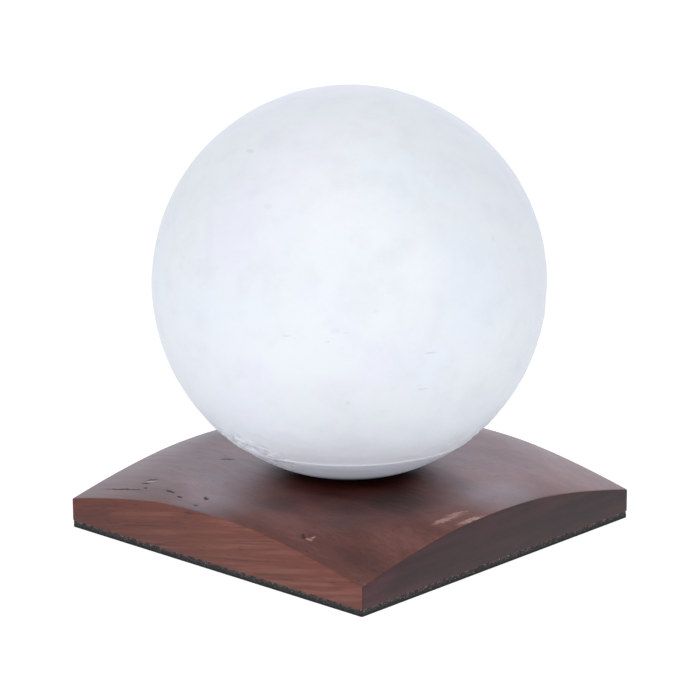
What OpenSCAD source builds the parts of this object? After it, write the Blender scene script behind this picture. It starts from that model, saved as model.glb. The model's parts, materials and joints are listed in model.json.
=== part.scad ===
/* [Wooden base] */
// Side of the square wooden block
base_side = 182; // [174:1:200]
// Radius of the level middle of the top
flat_r = 76; // [68:1:82]
// Radius of the shoulder that rolls off the level middle
shoulder_r = 66; // [50:1:90]
// Slope of the four corners below the shoulder, in degrees
corner_slope = 18.3; // [14:0.1:20]
// Radius of the four upright edges
edge_r = 0.8; // [0.5:0.1:4]
// Wood left above the pocket
roof_t = 3; // [2.5:0.1:4.5]
// Free height between the power coil and the roof of the pocket
head_room = 2.3; // [1:0.1:4]

/* [Pad and bottom plate] */
// Thickness of the dark pad under the block
pad_t = 3.3; // [2:0.1:5]
// Distance of the pad's edge from the faces of the block
pad_inset = 0.2; // [0.1:0.1:5]
// Radius of the pad's corners
pad_corner_r = 3; // [1:0.1:8]
// Thickness of the plate that closes the pocket
plate_t = 2; // [1.5:0.1:3]
// Width of the wooden ledge that the plate lies on
ledge_w = 6; // [5:0.1:8]
// Width of the ledge round the bay of the inlet
bay_ledge = 2.5; // [1.5:0.1:3]
// Free space round the plate in its recess
plate_gap = 0.3; // [0.1:0.05:0.6]
// Radius of the plate's corners
plate_corner_r = 5; // [3:0.1:8]
// Radius of the plate screws
plate_screw_r = 1.5; // [1:0.1:1.8]
// Length of the plate screws
plate_screw_l = 11; // [8:0.5:14]
// Radius of the countersunk heads
plate_head_r = 2.8; // [2.4:0.1:3.2]
// Height of the countersunk heads
plate_head_h = 1.4; // [1:0.1:1.5]

/* [Levitation magnet and coils] */
// Outer radius of the ring magnet
ring_r = 49; // [45:0.5:53]
// Inner radius of the ring magnet
ring_hole_r = 38; // [37:0.5:41]
// Height of the ring magnet
ring_h = 8; // [6:0.1:10]
// Free space round the ring magnet in its frame
ring_gap = 0.2; // [0.1:0.05:0.4]
// Thickness of the coil frame's floor
frame_t = 1.4; // [1:0.1:2]
// Thickness of the coil frame's walls
frame_wall = 1.6; // [1.2:0.1:2]
// Height of the coil frame's walls above its floor
frame_rim_h = 5; // [3:0.1:6]
// Distance of the steering coils from the middle
coil_reach = 20.5; // [19:0.1:21]
// Radius of the bobbin flanges
bobbin_r = 12; // [10:0.1:12.5]
// Thickness of the bobbin flanges
flange_t = 1; // [0.8:0.1:1.5]
// Height of a bobbin
bobbin_h = 9.4; // [7:0.1:10]
// Radius of the steel cores
core_r = 4; // [3:0.1:4.5]
// Wall of the bobbin tube round the core
bobbin_wall = 1.5; // [1:0.1:2]
// Bare flange left outside the windings
winding_inset = 0.8; // [0.4:0.1:2]
// Free space between parts that slide into each other
slip = 0.05; // [0.03:0.01:0.1]
// Side of the square sensor board
sensor_board_side = 13; // [11:0.1:14]
// Height of the post that carries the sensor board
sensor_post_h = 5; // [3:0.1:6]
// Radius of that post
sensor_post_r = 3.5; // [2:0.1:4]
// Width of a magnetic sensor
sensor_w = 3; // [2:0.1:3.5]
// Height of a magnetic sensor
sensor_h = 1.4; // [0.8:0.1:1.5]

/* [Power coil of the base] */
// Outer radius of the power coil
power_coil_r = 48; // [46:0.5:49]
// Inner radius of the power coil
power_coil_hole_r = 40; // [39.5:0.5:43]
// Thickness of the power coil
power_coil_t = 1.8; // [1:0.1:2.5]
// Thickness of the ferrite ring under the power coil
ferrite_t = 1; // [0.6:0.1:1.5]

/* [Control board] */
// Thickness of the circuit boards
board_t = 1.6; // [1:0.1:2]
// Width of board outside the coil frame
board_margin = 7; // [6:0.1:9]
// Free space round the control board in the pocket
board_gap = 2.5; // [1.5:0.1:4]
// Radius of the pocket's corners
pocket_corner_r = 6; // [4:0.1:8]
// Height of the posts under the control board
post_h = 3; // [2:0.1:5]
// Radius of the posts
post_r = 3; // [2.5:0.1:3.5]
// Distance of the posts from the edges of the board
post_inset = 5; // [4:0.1:6]
// Radius of the small machine screws
screw_r = 1.25; // [1:0.05:1.5]
// Radius of the small machine screws' heads
screw_head_r = 2.4; // [2:0.1:2.6]
// Height of the small machine screws' heads
screw_head_h = 1.6; // [1:0.1:2]
// Width and length of the large board parts
part_w = 9; // [6:0.1:10]
// Height of the coil drivers
driver_h = 4.4; // [2:0.1:6]
// Height of the controller chip
chip_h = 1.4; // [1:0.1:2]
// Height of the choke
choke_h = 5; // [3:0.1:7]
// Radius of the capacitors
capacitor_r = 4; // [2.5:0.1:4.5]
// Height of the capacitors
capacitor_h = 9; // [6:0.1:10]
// Radius of the copper touch foil under the roof
foil_r = 11; // [8:0.5:13]
// Thickness of the touch foil
foil_t = 0.2; // [0.1:0.05:0.4]

/* [Power inlet] */
// Radius of the inlet hole in the back face
inlet_r = 5.5; // [4.5:0.1:6]
// Wood left between the jack and the back face
inlet_wall = 6; // [4:0.1:8]
// Width of the board's tongue under the jack
tongue_w = 15; // [13:0.1:17]
// Width of the jack
jack_w = 9; // [8.5:0.1:10]
// Length of the jack
jack_l = 14; // [13:0.1:15]
// Height of the jack
jack_h = 11; // [10:0.1:11.5]
// Height of the jack's axis above the board
jack_axis_h = 6.4; // [5.5:0.1:6.5]
// Radius of the jack's socket
socket_r = 3.1; // [3:0.05:3.3]
// Depth of the jack's socket
socket_depth = 10; // [9:0.1:11]
// Radius of the jack's centre pin
jack_pin_r = 1.05; // [1:0.05:1.25]
// Depth of the pin's tip behind the mouth of the socket
pin_setback = 1; // [0.5:0.1:2]
// Thickness of the jack's spring contact
contact_t = 0.4; // [0.3:0.05:0.6]
// Width of the jack's spring contact
contact_w = 2.4; // [1.5:0.1:3]
// Free space in front of the jack
jack_gap = 0.3; // [0.2:0.1:1]

/* [Moon] */
// Diameter of the moon
moon_d = 180; // [172:1:200]
// Thickness of the printed shell
shell_t = 1.6; // [1.2:0.1:2.2]
// Radius of the seam between the shell and the bottom cap
seam_r = 57; // [50:0.1:62]
// Radius of the level foot under the bottom cap
foot_r = 24; // [22:0.1:25]
// Free space between the resting moon and the base
dock_gap = 0.3; // [0.2:0.05:0.5]
// Step from the shell in to the cap at the seam
cap_step = 0.3; // [0.2:0.05:0.5]
// Thickness of the cap's wall
cap_t = 2; // [1.6:0.1:2.6]
// Thickness of the cap's level floor
floor_t = 1.6; // [1.2:0.1:2]
// Height of the cap's rim inside the shell
lip_h = 4; // [2:0.1:6]
// Thickness of that rim
lip_t = 1.6; // [1.2:0.1:2]
// Free space between the rim and the shell
lip_gap = 0.2; // [0.1:0.05:0.4]

/* [Floating magnet] */
// Radius of the floating magnet
magnet_r = 20; // [18:0.1:21]
// Height of the floating magnet
magnet_h = 8; // [7:0.1:9]
// Wall of the well round the magnet
well_wall = 1.8; // [1.4:0.1:2.4]

/* [Light unit] */
// Radius of the carrier that closes the magnet's well
carrier_r = 39; // [37:0.5:40]
// Thickness of the carrier
carrier_t = 1.5; // [1.2:0.1:2]
// Distance of the carrier's bosses from the middle
boss_reach = 31; // [29:0.1:32]
// Radius of the bosses
boss_r = 3.2; // [2.8:0.1:3.6]
// Length of the machine screws below their heads
carrier_screw_l = 5.5; // [4.5:0.1:6]
// Outer radius of the receiving coil
pickup_r = 38; // [37:0.5:39]
// Inner radius of the receiving coil
pickup_hole_r = 35.2; // [35:0.1:36]
// Thickness of the receiving coil
pickup_t = 4; // [2:0.1:5]
// Distance of the spacers from the middle
spacer_reach = 22; // [20:0.1:24]
// Radius of the spacers
spacer_r = 2.6; // [2.2:0.1:3]
// Height of the lower spacers
lower_spacer_h = 5; // [4:0.1:8]
// Height of the upper spacers
upper_spacer_h = 14; // [10:0.5:30]
// Radius of the receiver board
receiver_r = 33; // [31:0.5:36]
// Radius of the lamp board
lamp_board_r = 28; // [26.5:0.5:32]
// Side of a light diode
diode_w = 5; // [3:0.1:5.5]
// Height of a light diode
diode_h = 1.6; // [1:0.1:2.5]
// Number of light diodes in the ring
diode_count = 8; // [6:1:10]
// Distance of the ring of light diodes from the middle
diode_reach = 14; // [13:0.1:15]

/* [Hidden] */
$fn = 144;
// Extra depth of a cut beyond the face that it opens
cut = 0.5;
// Width and depth of the screwdriver slots
slot_w = 0.6;

// Levels in the base, from the table up
plate_top = pad_t + plate_t;
board_bottom = plate_top + post_h;
board_top = board_bottom + board_t;
frame_floor = board_top + frame_t;
ring_top = frame_floor + ring_h;
power_coil_bottom = ring_top + ferrite_t;
power_coil_top = power_coil_bottom + power_coil_t;
bobbin_top = frame_floor + bobbin_h;
roof_z = max(power_coil_top, bobbin_top) + head_room;
base_h = roof_z + roof_t;

// Plan of the base
frame_r = ring_r + ring_gap + frame_wall;
board_half = frame_r + board_margin;
pocket_side = 2 * (board_half + board_gap);
plate_side = pocket_side + 2 * ledge_w;
plate_screw_reach = plate_side / 2 - plate_head_r - plate_screw_r;
post_reach = board_half - post_inset;
part_outer = board_half - part_w / 2 - cut;
part_inner = part_outer - part_w - cut;
inner_wall_r = ring_hole_r - ring_gap;
sensor_board_z = frame_floor + sensor_post_h;
sensor_pitch = (sensor_board_side - sensor_w) / 2 - cut;
foil_reach = pocket_side / 2 - foil_r - board_gap;
bobbin_tube_r = core_r + slip + bobbin_wall;
winding_r = bobbin_r - winding_inset;

// The crown: where the rolled shoulder ends and the sloping corner begins
shoulder_x = flat_r + shoulder_r * sin(corner_slope);
shoulder_z = base_h - shoulder_r * (1 - cos(corner_slope));
corner_x = base_side / sqrt(2);
corner_z = shoulder_z - (corner_x - shoulder_x) * tan(corner_slope);

// Power inlet at the middle of the back face
bay_end = base_side / 2 - inlet_wall;
jack_front = bay_end - jack_gap;
jack_back = jack_front - jack_l;
jack_axis_z = board_top + jack_axis_h;
bay_w = tongue_w + 2 * board_gap;

// The moon, down from its centre
moon_r = moon_d / 2;
cap_r = moon_r - cap_step;
foot_drop = sqrt(moon_r * moon_r - foot_r * foot_r);
seam_drop = sqrt(moon_r * moon_r - seam_r * seam_r);
moon_z = base_h + dock_gap + foot_drop;
foot_z = moon_z - foot_drop;
seam_z = moon_z - seam_drop;
inner_r = moon_r - shell_t;
mouth_r = sqrt(inner_r * inner_r - seam_drop * seam_drop);
lip_r = mouth_r - lip_gap;
// Depth to which the rim is rooted in the cap's wall
lip_root = 1;
// Depth that the carrier screws reach into their bosses
carrier_bite = carrier_screw_l - carrier_t;

// Levels in the moon, from its foot up
floor_z = foot_z + floor_t;
magnet_z = floor_z + slip;
well_top = magnet_z + magnet_h + slip;
carrier_top = well_top + carrier_t;
receiver_z = carrier_top + lower_spacer_h;
receiver_top = receiver_z + board_t;
lamp_z = receiver_top + upper_spacer_h;
lamp_top = lamp_z + board_t;

// Repeated places
module at_corners(reach) {
    for (x = [-1, 1], y = [-1, 1]) translate([x * reach, y * reach, 0]) children();
}

module at_turns(count, reach, start = 0) {
    for (i = [0 : count - 1]) rotate(start + i * 360 / count) translate([reach, 0, 0]) children();
}

// Repeated shapes
module rounded_square(side, r) {
    square([side, side - 2 * r], center = true);
    square([side - 2 * r, side], center = true);
    for (x = [-1, 1], y = [-1, 1]) translate([x, y] * (side / 2 - r)) circle(r);
}

module rounded_plate(side, r, h) {
    linear_extrude(h) rounded_square(side, r);
}

module ring(outer, inner, h) {
    difference() {
        cylinder(r = outer, h = h);
        translate([0, 0, -cut]) cylinder(r = inner, h = h + 2 * cut);
    }
}

// A pan-head machine screw whose head stands on z = 0 and whose shank points down
module pan_screw(shank_l) {
    cylinder(r = screw_head_r, h = screw_head_h);
    translate([0, 0, -shank_l]) cylinder(r = screw_r, h = shank_l + slip);
}

// Half section of the crowned block: level middle, rolled shoulder, sloping corner
module crown_profile() {
    polygon([[0, pad_t], [corner_x, pad_t], [corner_x, corner_z], [shoulder_x, shoulder_z],
             [flat_r, base_h], [0, base_h]]);
    intersection() {
        translate([flat_r, base_h - shoulder_r]) circle(shoulder_r);
        polygon([[flat_r, base_h], [shoulder_x, shoulder_z], [shoulder_x, base_h]]);
    }
}

module wood_body() {
    color("#6f4c42")
    difference() {
        intersection() {
            translate([0, 0, pad_t]) rounded_plate(base_side, edge_r, base_h);
            rotate_extrude() crown_profile();
        }
        // Recess for the bottom plate
        translate([0, 0, pad_t - cut]) linear_extrude(plate_t + cut) plate_outline(plate_gap);
        // Pocket for the levitation unit, with a bay out to the inlet
        translate([0, 0, pad_t]) rounded_plate(pocket_side, pocket_corner_r, roof_z - pad_t);
        translate([-bay_w / 2, 0, pad_t]) cube([bay_w, bay_end, roof_z - pad_t]);
        // Inlet hole through the back face
        translate([0, 0, jack_axis_z]) rotate([-90, 0, 0]) cylinder(r = inlet_r, h = base_side);
        // Pilot holes for the plate screws
        at_corners(plate_screw_reach) cylinder(r = plate_screw_r + slip, h = pad_t + plate_screw_l + slip);
    }
}

module base_pad() {
    color("#403c40")
    rounded_plate(base_side - 2 * pad_inset, pad_corner_r, pad_t);
}

// Outline of the bottom plate, or of its recess when grown by a gap
module plate_outline(grow = 0) {
    rounded_square(plate_side + 2 * grow, plate_corner_r + grow);
    translate([-bay_w / 2 - bay_ledge - grow, 0])
        square([bay_w + 2 * (bay_ledge + grow), bay_end + bay_ledge + grow]);
}

module bottom_plate() {
    color("#26262a")
    difference() {
        translate([0, 0, pad_t]) linear_extrude(plate_t) plate_outline();
        at_corners(plate_screw_reach) {
            translate([0, 0, pad_t - cut]) cylinder(r = plate_screw_r + slip, h = plate_t + 2 * cut);
            translate([0, 0, pad_t - cut]) cylinder(r = plate_head_r + slip, h = plate_head_h + slip + cut);
        }
    }
}

module plate_screws() {
    color("#8a8a8c")
    at_corners(plate_screw_reach) translate([0, 0, pad_t]) {
        difference() {
            cylinder(r = plate_head_r, h = plate_head_h);
            // Slot of the screwdriver
            translate([-plate_head_r, -slot_w / 2, -cut]) cube([2 * plate_head_r, slot_w, slot_w + cut]);
        }
        cylinder(r = plate_screw_r, h = plate_screw_l);
    }
}

module board_posts() {
    color("#b08d4a")
    at_corners(post_reach) translate([0, 0, plate_top]) ring(post_r, screw_r + slip, post_h);
}

// Control board: a square under the coils with a tongue out to the jack
module control_board() {
    color("#1f5a3a")
    translate([0, 0, board_bottom])
    difference() {
        union() {
            translate([-board_half, -board_half, 0]) cube([2 * board_half, 2 * board_half, board_t]);
            translate([-tongue_w / 2, 0, 0]) cube([tongue_w, jack_front, board_t]);
        }
        at_corners(post_reach)
            translate([0, 0, -cut]) cylinder(r = screw_r + slip, h = board_t + 2 * cut);
    }
}

module board_screws() {
    color("#8a8a8c")
    at_corners(post_reach) translate([0, 0, board_top]) pan_screw(board_t + post_h - slip);
}

// A flat board part that stands on the board at the given place
module board_part(x, y, h) {
    translate([x - part_w / 2, y - part_w / 2, board_top]) cube([part_w, part_w, h]);
}

module coil_drivers() {
    color("#1b1b1d")
    for (x = [-1, 1], y = [-1, 1]) board_part(x * part_outer, y * part_inner, driver_h);
}

module controller_chip() {
    color("#202022")
    board_part(-part_inner, part_outer, chip_h);
}

module choke() {
    color("#3a3a3d")
    board_part(part_inner, part_outer, choke_h);
}

module capacitors() {
    color("#2b3550")
    for (x = [-1, 1])
        translate([x * part_inner, -part_outer, board_top]) cylinder(r = capacitor_r, h = capacitor_h);
}

// Frame that locates the ring magnet, the four bobbins and the sensor board
module coil_frame() {
    color("#d9d9d6")
    difference() {
        union() {
            translate([0, 0, board_top]) cylinder(r = frame_r, h = frame_t);
            translate([0, 0, board_top]) ring(frame_r, frame_r - frame_wall, frame_t + frame_rim_h);
            translate([0, 0, board_top])
                ring(inner_wall_r, inner_wall_r - frame_wall, frame_t + frame_rim_h);
            translate([0, 0, board_top]) cylinder(r = sensor_post_r, h = frame_t + sensor_post_h);
        }
        // Holes for the feet of the bobbins
        at_turns(4, coil_reach)
            translate([0, 0, board_top - cut]) cylinder(r = bobbin_tube_r + slip, h = frame_t + 2 * cut);
    }
}

module ring_magnet() {
    color("#4a4a4d")
    translate([0, 0, frame_floor]) ring(ring_r, ring_hole_r, ring_h);
}

// Bobbin: a tube that stands in the frame, with a flange at each end of the winding
module coil_bobbins() {
    color("#e8e4da")
    at_turns(4, coil_reach)
    difference() {
        union() {
            translate([0, 0, board_top + slip])
                cylinder(r = bobbin_tube_r, h = bobbin_top - board_top - slip);
            translate([0, 0, frame_floor]) cylinder(r = bobbin_r, h = flange_t);
            translate([0, 0, bobbin_top - flange_t]) cylinder(r = bobbin_r, h = flange_t);
        }
        translate([0, 0, board_top - cut]) cylinder(r = core_r + slip, h = bobbin_top - board_top + 2 * cut);
    }
}

module coil_windings() {
    color("#b4642d")
    at_turns(4, coil_reach)
    translate([0, 0, frame_floor + flange_t + slip])
        ring(winding_r, bobbin_tube_r + slip, bobbin_h - 2 * flange_t - 2 * slip);
}

module coil_cores() {
    color("#9a9a9e")
    at_turns(4, coil_reach)
    translate([0, 0, board_top + slip]) cylinder(r = core_r, h = bobbin_top - board_top - slip);
}

module sensor_board() {
    color("#1f5a3a")
    translate([-sensor_board_side / 2, -sensor_board_side / 2, sensor_board_z])
        cube([sensor_board_side, sensor_board_side, board_t]);
}

// Three sensors: one for each sideways direction and one for the height
module magnetic_sensors() {
    color("#18181a")
    for (i = [-1 : 1])
        translate([i * sensor_pitch - sensor_w / 2, -sensor_w / 2, sensor_board_z + board_t])
            cube([sensor_w, sensor_w, sensor_h]);
}

module power_ferrite() {
    color("#3c3a3c")
    translate([0, 0, ring_top]) ring(ring_r, ring_hole_r, ferrite_t);
}

module power_coil() {
    color("#b4642d")
    translate([0, 0, power_coil_bottom]) ring(power_coil_r, power_coil_hole_r, power_coil_t);
}

// Copper foil glued under the roof of the pocket, by the front corner
module touch_foil() {
    color("#b8733a")
    translate([foil_reach, -foil_reach, roof_z - foil_t]) cylinder(r = foil_r, h = foil_t);
}

// Jack with its socket open to the inlet and a slot for the spring contact
module dc_jack() {
    color("#141416")
    difference() {
        translate([-jack_w / 2, jack_back, board_top]) cube([jack_w, jack_l, jack_h]);
        translate([0, jack_front - socket_depth, jack_axis_z])
            rotate([-90, 0, 0]) cylinder(r = socket_r, h = socket_depth + cut);
        translate([0, jack_back - cut, jack_axis_z])
            rotate([-90, 0, 0]) cylinder(r = jack_pin_r + slip, h = jack_l);
        translate([-contact_w / 2 - slip, jack_back - cut, jack_axis_z - socket_r - contact_t - slip])
            cube([contact_w + 2 * slip, jack_l - pin_setback + cut, 2 * contact_t + slip]);
    }
}

module jack_pin() {
    color("#c9c9cc")
    translate([0, jack_back, jack_axis_z])
        rotate([-90, 0, 0]) cylinder(r = jack_pin_r, h = jack_l - pin_setback);
}

// Spring contact: a strip along the floor of the socket, bent down behind the jack
module jack_contact() {
    color("#b08d4a")
    translate([-contact_w / 2, jack_back, jack_axis_z - socket_r - contact_t])
        cube([contact_w, jack_l - pin_setback - slip, contact_t]);
}

module moon_shell() {
    color("#eef1f4")
    difference() {
        translate([0, 0, moon_z]) sphere(moon_r);
        translate([0, 0, moon_z]) sphere(inner_r);
        translate([0, 0, foot_z - moon_r]) cylinder(r = moon_r, h = seam_z - foot_z + moon_r);
    }
}

// Bottom cap: the rest of the sphere with a level foot, a rim that enters the shell,
// the well of the magnet and three bosses for the carrier
module bottom_cap() {
    color("#dfe2e6")
    difference() {
        union() {
            intersection() {
                cap_wall();
                cap_levels(foot_z, seam_z);
            }
            intersection() {
                translate([0, 0, moon_z]) sphere(cap_r);
                cap_levels(foot_z, floor_z);
            }
            translate([0, 0, seam_z - lip_root]) ring(lip_r, lip_r - lip_t, lip_h + lip_root);
            intersection() {
                translate([0, 0, moon_z]) sphere(cap_r);
                union() {
                    translate([0, 0, foot_z]) cylinder(r = magnet_r + slip + well_wall, h = well_top - foot_z);
                    at_turns(3, boss_reach) translate([0, 0, foot_z]) cylinder(r = boss_r, h = well_top - foot_z);
                }
            }
        }
        translate([0, 0, floor_z]) cylinder(r = magnet_r + slip, h = moon_r);
        at_turns(3, boss_reach)
            translate([0, 0, well_top - carrier_bite - slip]) cylinder(r = screw_r + slip, h = moon_r);
    }
}

module cap_wall() {
    difference() {
        translate([0, 0, moon_z]) sphere(cap_r);
        translate([0, 0, moon_z]) sphere(cap_r - cap_t);
    }
}

// A slab between two levels, wide enough for the whole moon
module cap_levels(low, high) {
    translate([0, 0, low]) cylinder(r = moon_r, h = high - low);
}

module float_magnet() {
    color("#c4c4c8")
    translate([0, 0, magnet_z]) cylinder(r = magnet_r, h = magnet_h);
}

module coil_carrier() {
    color("#e4e4e0")
    translate([0, 0, well_top])
    difference() {
        cylinder(r = carrier_r, h = carrier_t);
        at_turns(3, boss_reach)
            translate([0, 0, -cut]) cylinder(r = screw_r + slip, h = carrier_t + 2 * cut);
    }
}

module carrier_screws() {
    color("#8a8a8c")
    at_turns(3, boss_reach) translate([0, 0, carrier_top]) pan_screw(carrier_screw_l);
}

module pickup_coil() {
    color("#b4642d")
    translate([0, 0, carrier_top]) ring(pickup_r, pickup_hole_r, pickup_t);
}

module lower_spacers() {
    color("#b08d4a")
    at_turns(3, spacer_reach, 60) translate([0, 0, carrier_top]) cylinder(r = spacer_r, h = lower_spacer_h);
}

module receiver_board() {
    color("#1f5a3a")
    translate([0, 0, receiver_z]) cylinder(r = receiver_r, h = board_t);
}

// Rectifier, choke and smoothing capacitor of the receiver
module receiver_parts() {
    color("#1b1b1d")
    translate([0, 0, receiver_top]) {
        translate([-part_w / 2, -part_w / 2, 0]) cube([part_w, part_w, chip_h]);
        translate([part_w + cut, -part_w / 2, 0]) cube([part_w, part_w, choke_h]);
        translate([-part_w - cut - capacitor_r, 0, 0]) cylinder(r = capacitor_r, h = capacitor_h);
    }
}

module upper_spacers() {
    color("#b08d4a")
    at_turns(3, spacer_reach, 60)
        translate([0, 0, receiver_top]) ring(spacer_r, screw_r + slip, upper_spacer_h);
}

module lamp_board() {
    color("#e9e9ea")
    translate([0, 0, lamp_z])
    difference() {
        cylinder(r = lamp_board_r, h = board_t);
        at_turns(3, spacer_reach, 60)
            translate([0, 0, -cut]) cylinder(r = screw_r + slip, h = board_t + 2 * cut);
    }
}

module light_diodes() {
    color("#f4e9a8")
    translate([0, 0, lamp_top]) {
        diode();
        at_turns(diode_count, diode_reach) diode();
    }
}

module diode() {
    translate([-diode_w / 2, -diode_w / 2, 0]) cube([diode_w, diode_w, diode_h]);
}

module lamp_screws() {
    color("#8a8a8c")
    at_turns(3, spacer_reach, 60) translate([0, 0, lamp_top]) pan_screw(carrier_screw_l);
}

wood_body();
base_pad();
bottom_plate();
plate_screws();
board_posts();
control_board();
board_screws();
coil_drivers();
controller_chip();
choke();
capacitors();
coil_frame();
ring_magnet();
coil_bobbins();
coil_windings();
coil_cores();
sensor_board();
magnetic_sensors();
power_ferrite();
power_coil();
touch_foil();
dc_jack();
jack_pin();
jack_contact();
moon_shell();
bottom_cap();
float_magnet();
coil_carrier();
carrier_screws();
pickup_coil();
lower_spacers();
receiver_board();
receiver_parts();
upper_spacers();
lamp_board();
light_diodes();
lamp_screws();
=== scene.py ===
"""Looks of a moon lamp: a white printed globe resting on a crowned walnut base.

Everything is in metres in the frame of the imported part: +Z up, the origin on the table under the
middle of the base, the power inlet in the +Y face.
"""

import json
import logging
import math
from collections.abc import Callable, Iterable
from dataclasses import dataclass, field
from enum import Enum
from functools import partial, reduce

import bpy
import numpy as np
from mathutils import Matrix, Vector, noise

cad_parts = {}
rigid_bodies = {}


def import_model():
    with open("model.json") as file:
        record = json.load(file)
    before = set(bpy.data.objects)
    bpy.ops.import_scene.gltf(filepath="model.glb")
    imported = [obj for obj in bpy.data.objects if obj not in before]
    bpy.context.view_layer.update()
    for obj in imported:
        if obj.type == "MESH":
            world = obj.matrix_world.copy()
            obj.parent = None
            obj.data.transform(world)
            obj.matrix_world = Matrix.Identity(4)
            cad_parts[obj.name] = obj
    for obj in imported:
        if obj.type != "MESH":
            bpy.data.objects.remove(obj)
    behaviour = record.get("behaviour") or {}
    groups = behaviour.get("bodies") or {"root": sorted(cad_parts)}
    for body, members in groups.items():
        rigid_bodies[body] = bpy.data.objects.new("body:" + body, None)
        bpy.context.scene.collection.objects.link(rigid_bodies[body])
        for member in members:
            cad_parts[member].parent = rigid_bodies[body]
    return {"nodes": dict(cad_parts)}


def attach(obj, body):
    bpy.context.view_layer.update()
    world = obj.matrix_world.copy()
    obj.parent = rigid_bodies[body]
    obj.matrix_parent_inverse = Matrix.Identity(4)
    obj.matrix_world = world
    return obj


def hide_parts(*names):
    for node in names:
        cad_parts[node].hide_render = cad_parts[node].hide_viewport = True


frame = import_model()

LOG = logging.getLogger("moon_lamp")
MM = 0.001

Colour = tuple[float, float, float]
Triple = tuple[float, float, float]
Outline = list[tuple[float, float]]
Piece = bpy.types.Object
Material = bpy.types.Material
Node = bpy.types.Node
Socket = bpy.types.NodeSocket
Tree = bpy.types.NodeTree


class Body(Enum):
    """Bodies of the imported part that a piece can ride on."""

    BASE = "base"
    MOON = "moon"


class Pattern(Enum):
    """Kinds of winding that a copper coil can show."""

    FLAT = "flat"
    UPRIGHT = "upright"


# Mesh helpers


def deselect_all() -> None:
    """Leaves nothing selected and no object active."""
    for item in bpy.context.view_layer.objects:
        item.select_set(False)
    bpy.context.view_layer.objects.active = None


def activate(piece: Piece) -> None:
    """Selects one piece alone and makes it active."""
    deselect_all()
    piece.select_set(True)
    bpy.context.view_layer.objects.active = piece


def edit(piece: Piece, mode: str = "VERT", everything: bool = False) -> None:
    """Enters edit mode on a piece.

    Args:
        piece: The piece to edit.
        mode: The kind of element that is selected: VERT or EDGE.
        everything: Whether all of it is selected, rather than nothing.
    """
    activate(piece)
    bpy.ops.object.mode_set(mode="EDIT")
    bpy.ops.mesh.select_mode(type=mode)
    bpy.ops.mesh.select_all(action="SELECT" if everything else "DESELECT")


def leave_edit() -> None:
    """Goes back to object mode."""
    bpy.ops.object.mode_set(mode="OBJECT")


def select_edges(piece: Piece, test: Callable[[Vector, Vector], bool]) -> None:
    """Selects the edges that pass a test on the places of their two ends.

    Args:
        piece: The piece in edit mode, in edge mode.
        test: Says of an edge's two ends whether it is selected.
    """
    leave_edit()
    mesh = piece.data
    for polygon in mesh.polygons:
        polygon.select = False
    for vertex in mesh.vertices:
        vertex.select = False
    for edge in mesh.edges:
        first, second = (mesh.vertices[i].co for i in edge.vertices)
        edge.select = test(first, second)
    bpy.ops.object.mode_set(mode="EDIT")


def apply_modifier(piece: Piece, kind: str, **values: object) -> None:
    """Adds a modifier to a piece, sets its values and applies it.

    Args:
        piece: The piece to change.
        kind: Blender's name of the modifier, such as BEVEL.
        values: The modifier's settings.
    """
    activate(piece)
    modifier = piece.modifiers.new(kind.lower(), kind)
    for key, value in values.items():
        setattr(modifier, key, value)
    bpy.ops.object.modifier_apply(modifier=modifier.name)


def combine(piece: Piece, other: Piece, operation: str = "DIFFERENCE") -> None:
    """Combines a piece with a second solid, which is then deleted.

    Args:
        piece: The piece to change.
        other: The second solid.
        operation: DIFFERENCE takes it out, UNION joins it on and INTERSECT keeps what both share.
    """
    apply_modifier(piece, "BOOLEAN", operation=operation, object=other, solver="EXACT")
    bpy.data.objects.remove(other, do_unlink=True)


def settle(piece: Piece) -> None:
    """Moves a piece's place into its mesh, so that its object sits at the origin."""
    activate(piece)
    bpy.ops.object.transform_apply(location=True, rotation=True, scale=True)


def face_outwards(piece: Piece) -> None:
    """Merges doubled vertices and turns every face outwards.

    Args:
        piece: The piece to change.
    """
    edit(piece, everything=True)
    bpy.ops.mesh.remove_doubles(threshold=MM / 1000)
    bpy.ops.mesh.normals_make_consistent(inside=False)
    leave_edit()


def smooth(piece: Piece, angle: float) -> None:
    """Shades a piece smooth across edges flatter than an angle, in degrees."""
    activate(piece)
    bpy.ops.object.shade_smooth_by_angle(angle=math.radians(angle))


def store(piece: Piece, name: str, values: Iterable[float]) -> None:
    """Stores a value on each vertex of a piece under a name that a finish reads."""
    piece.data.attributes.new(name, "FLOAT", "POINT").data.foreach_set("value", values)


def unit(places: np.ndarray) -> np.ndarray:
    """Returns the direction of each place, one a row."""
    return places / np.linalg.norm(places, axis=1, keepdims=True)


def fade(values: np.ndarray, end: float, width: float) -> np.ndarray:
    """Returns 0 above an end value and 1 far enough below it, with an even slope between."""
    return np.clip((end - values) / width, 0, 1)


def arc(level: float, radius: float, first: float, last: float, steps: int) -> Outline:
    """Returns points of an arc of a circle about the upright axis.

    Args:
        level: Level of the circle's middle.
        radius: Its radius.
        first: Angle of the first point, from straight below the middle.
        last: Angle of the last point.
        steps: Number of steps between them.

    Returns:
        The points as radius and height.
    """
    angles = [first + (last - first) * step / steps for step in range(steps + 1)]
    return [(radius * math.sin(angle), level - radius * math.cos(angle)) for angle in angles]


def add_block(low: Vector, high: Vector) -> Piece:
    """Adds a block between two corners.

    Args:
        low: The lowest corner.
        high: The highest corner.

    Returns:
        The new object, with its place in its mesh.
    """
    deselect_all()
    bpy.ops.mesh.primitive_cube_add(size=1, location=(low + high) / 2)
    block = bpy.context.object
    block.scale = high - low
    settle(block)
    return block


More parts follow.
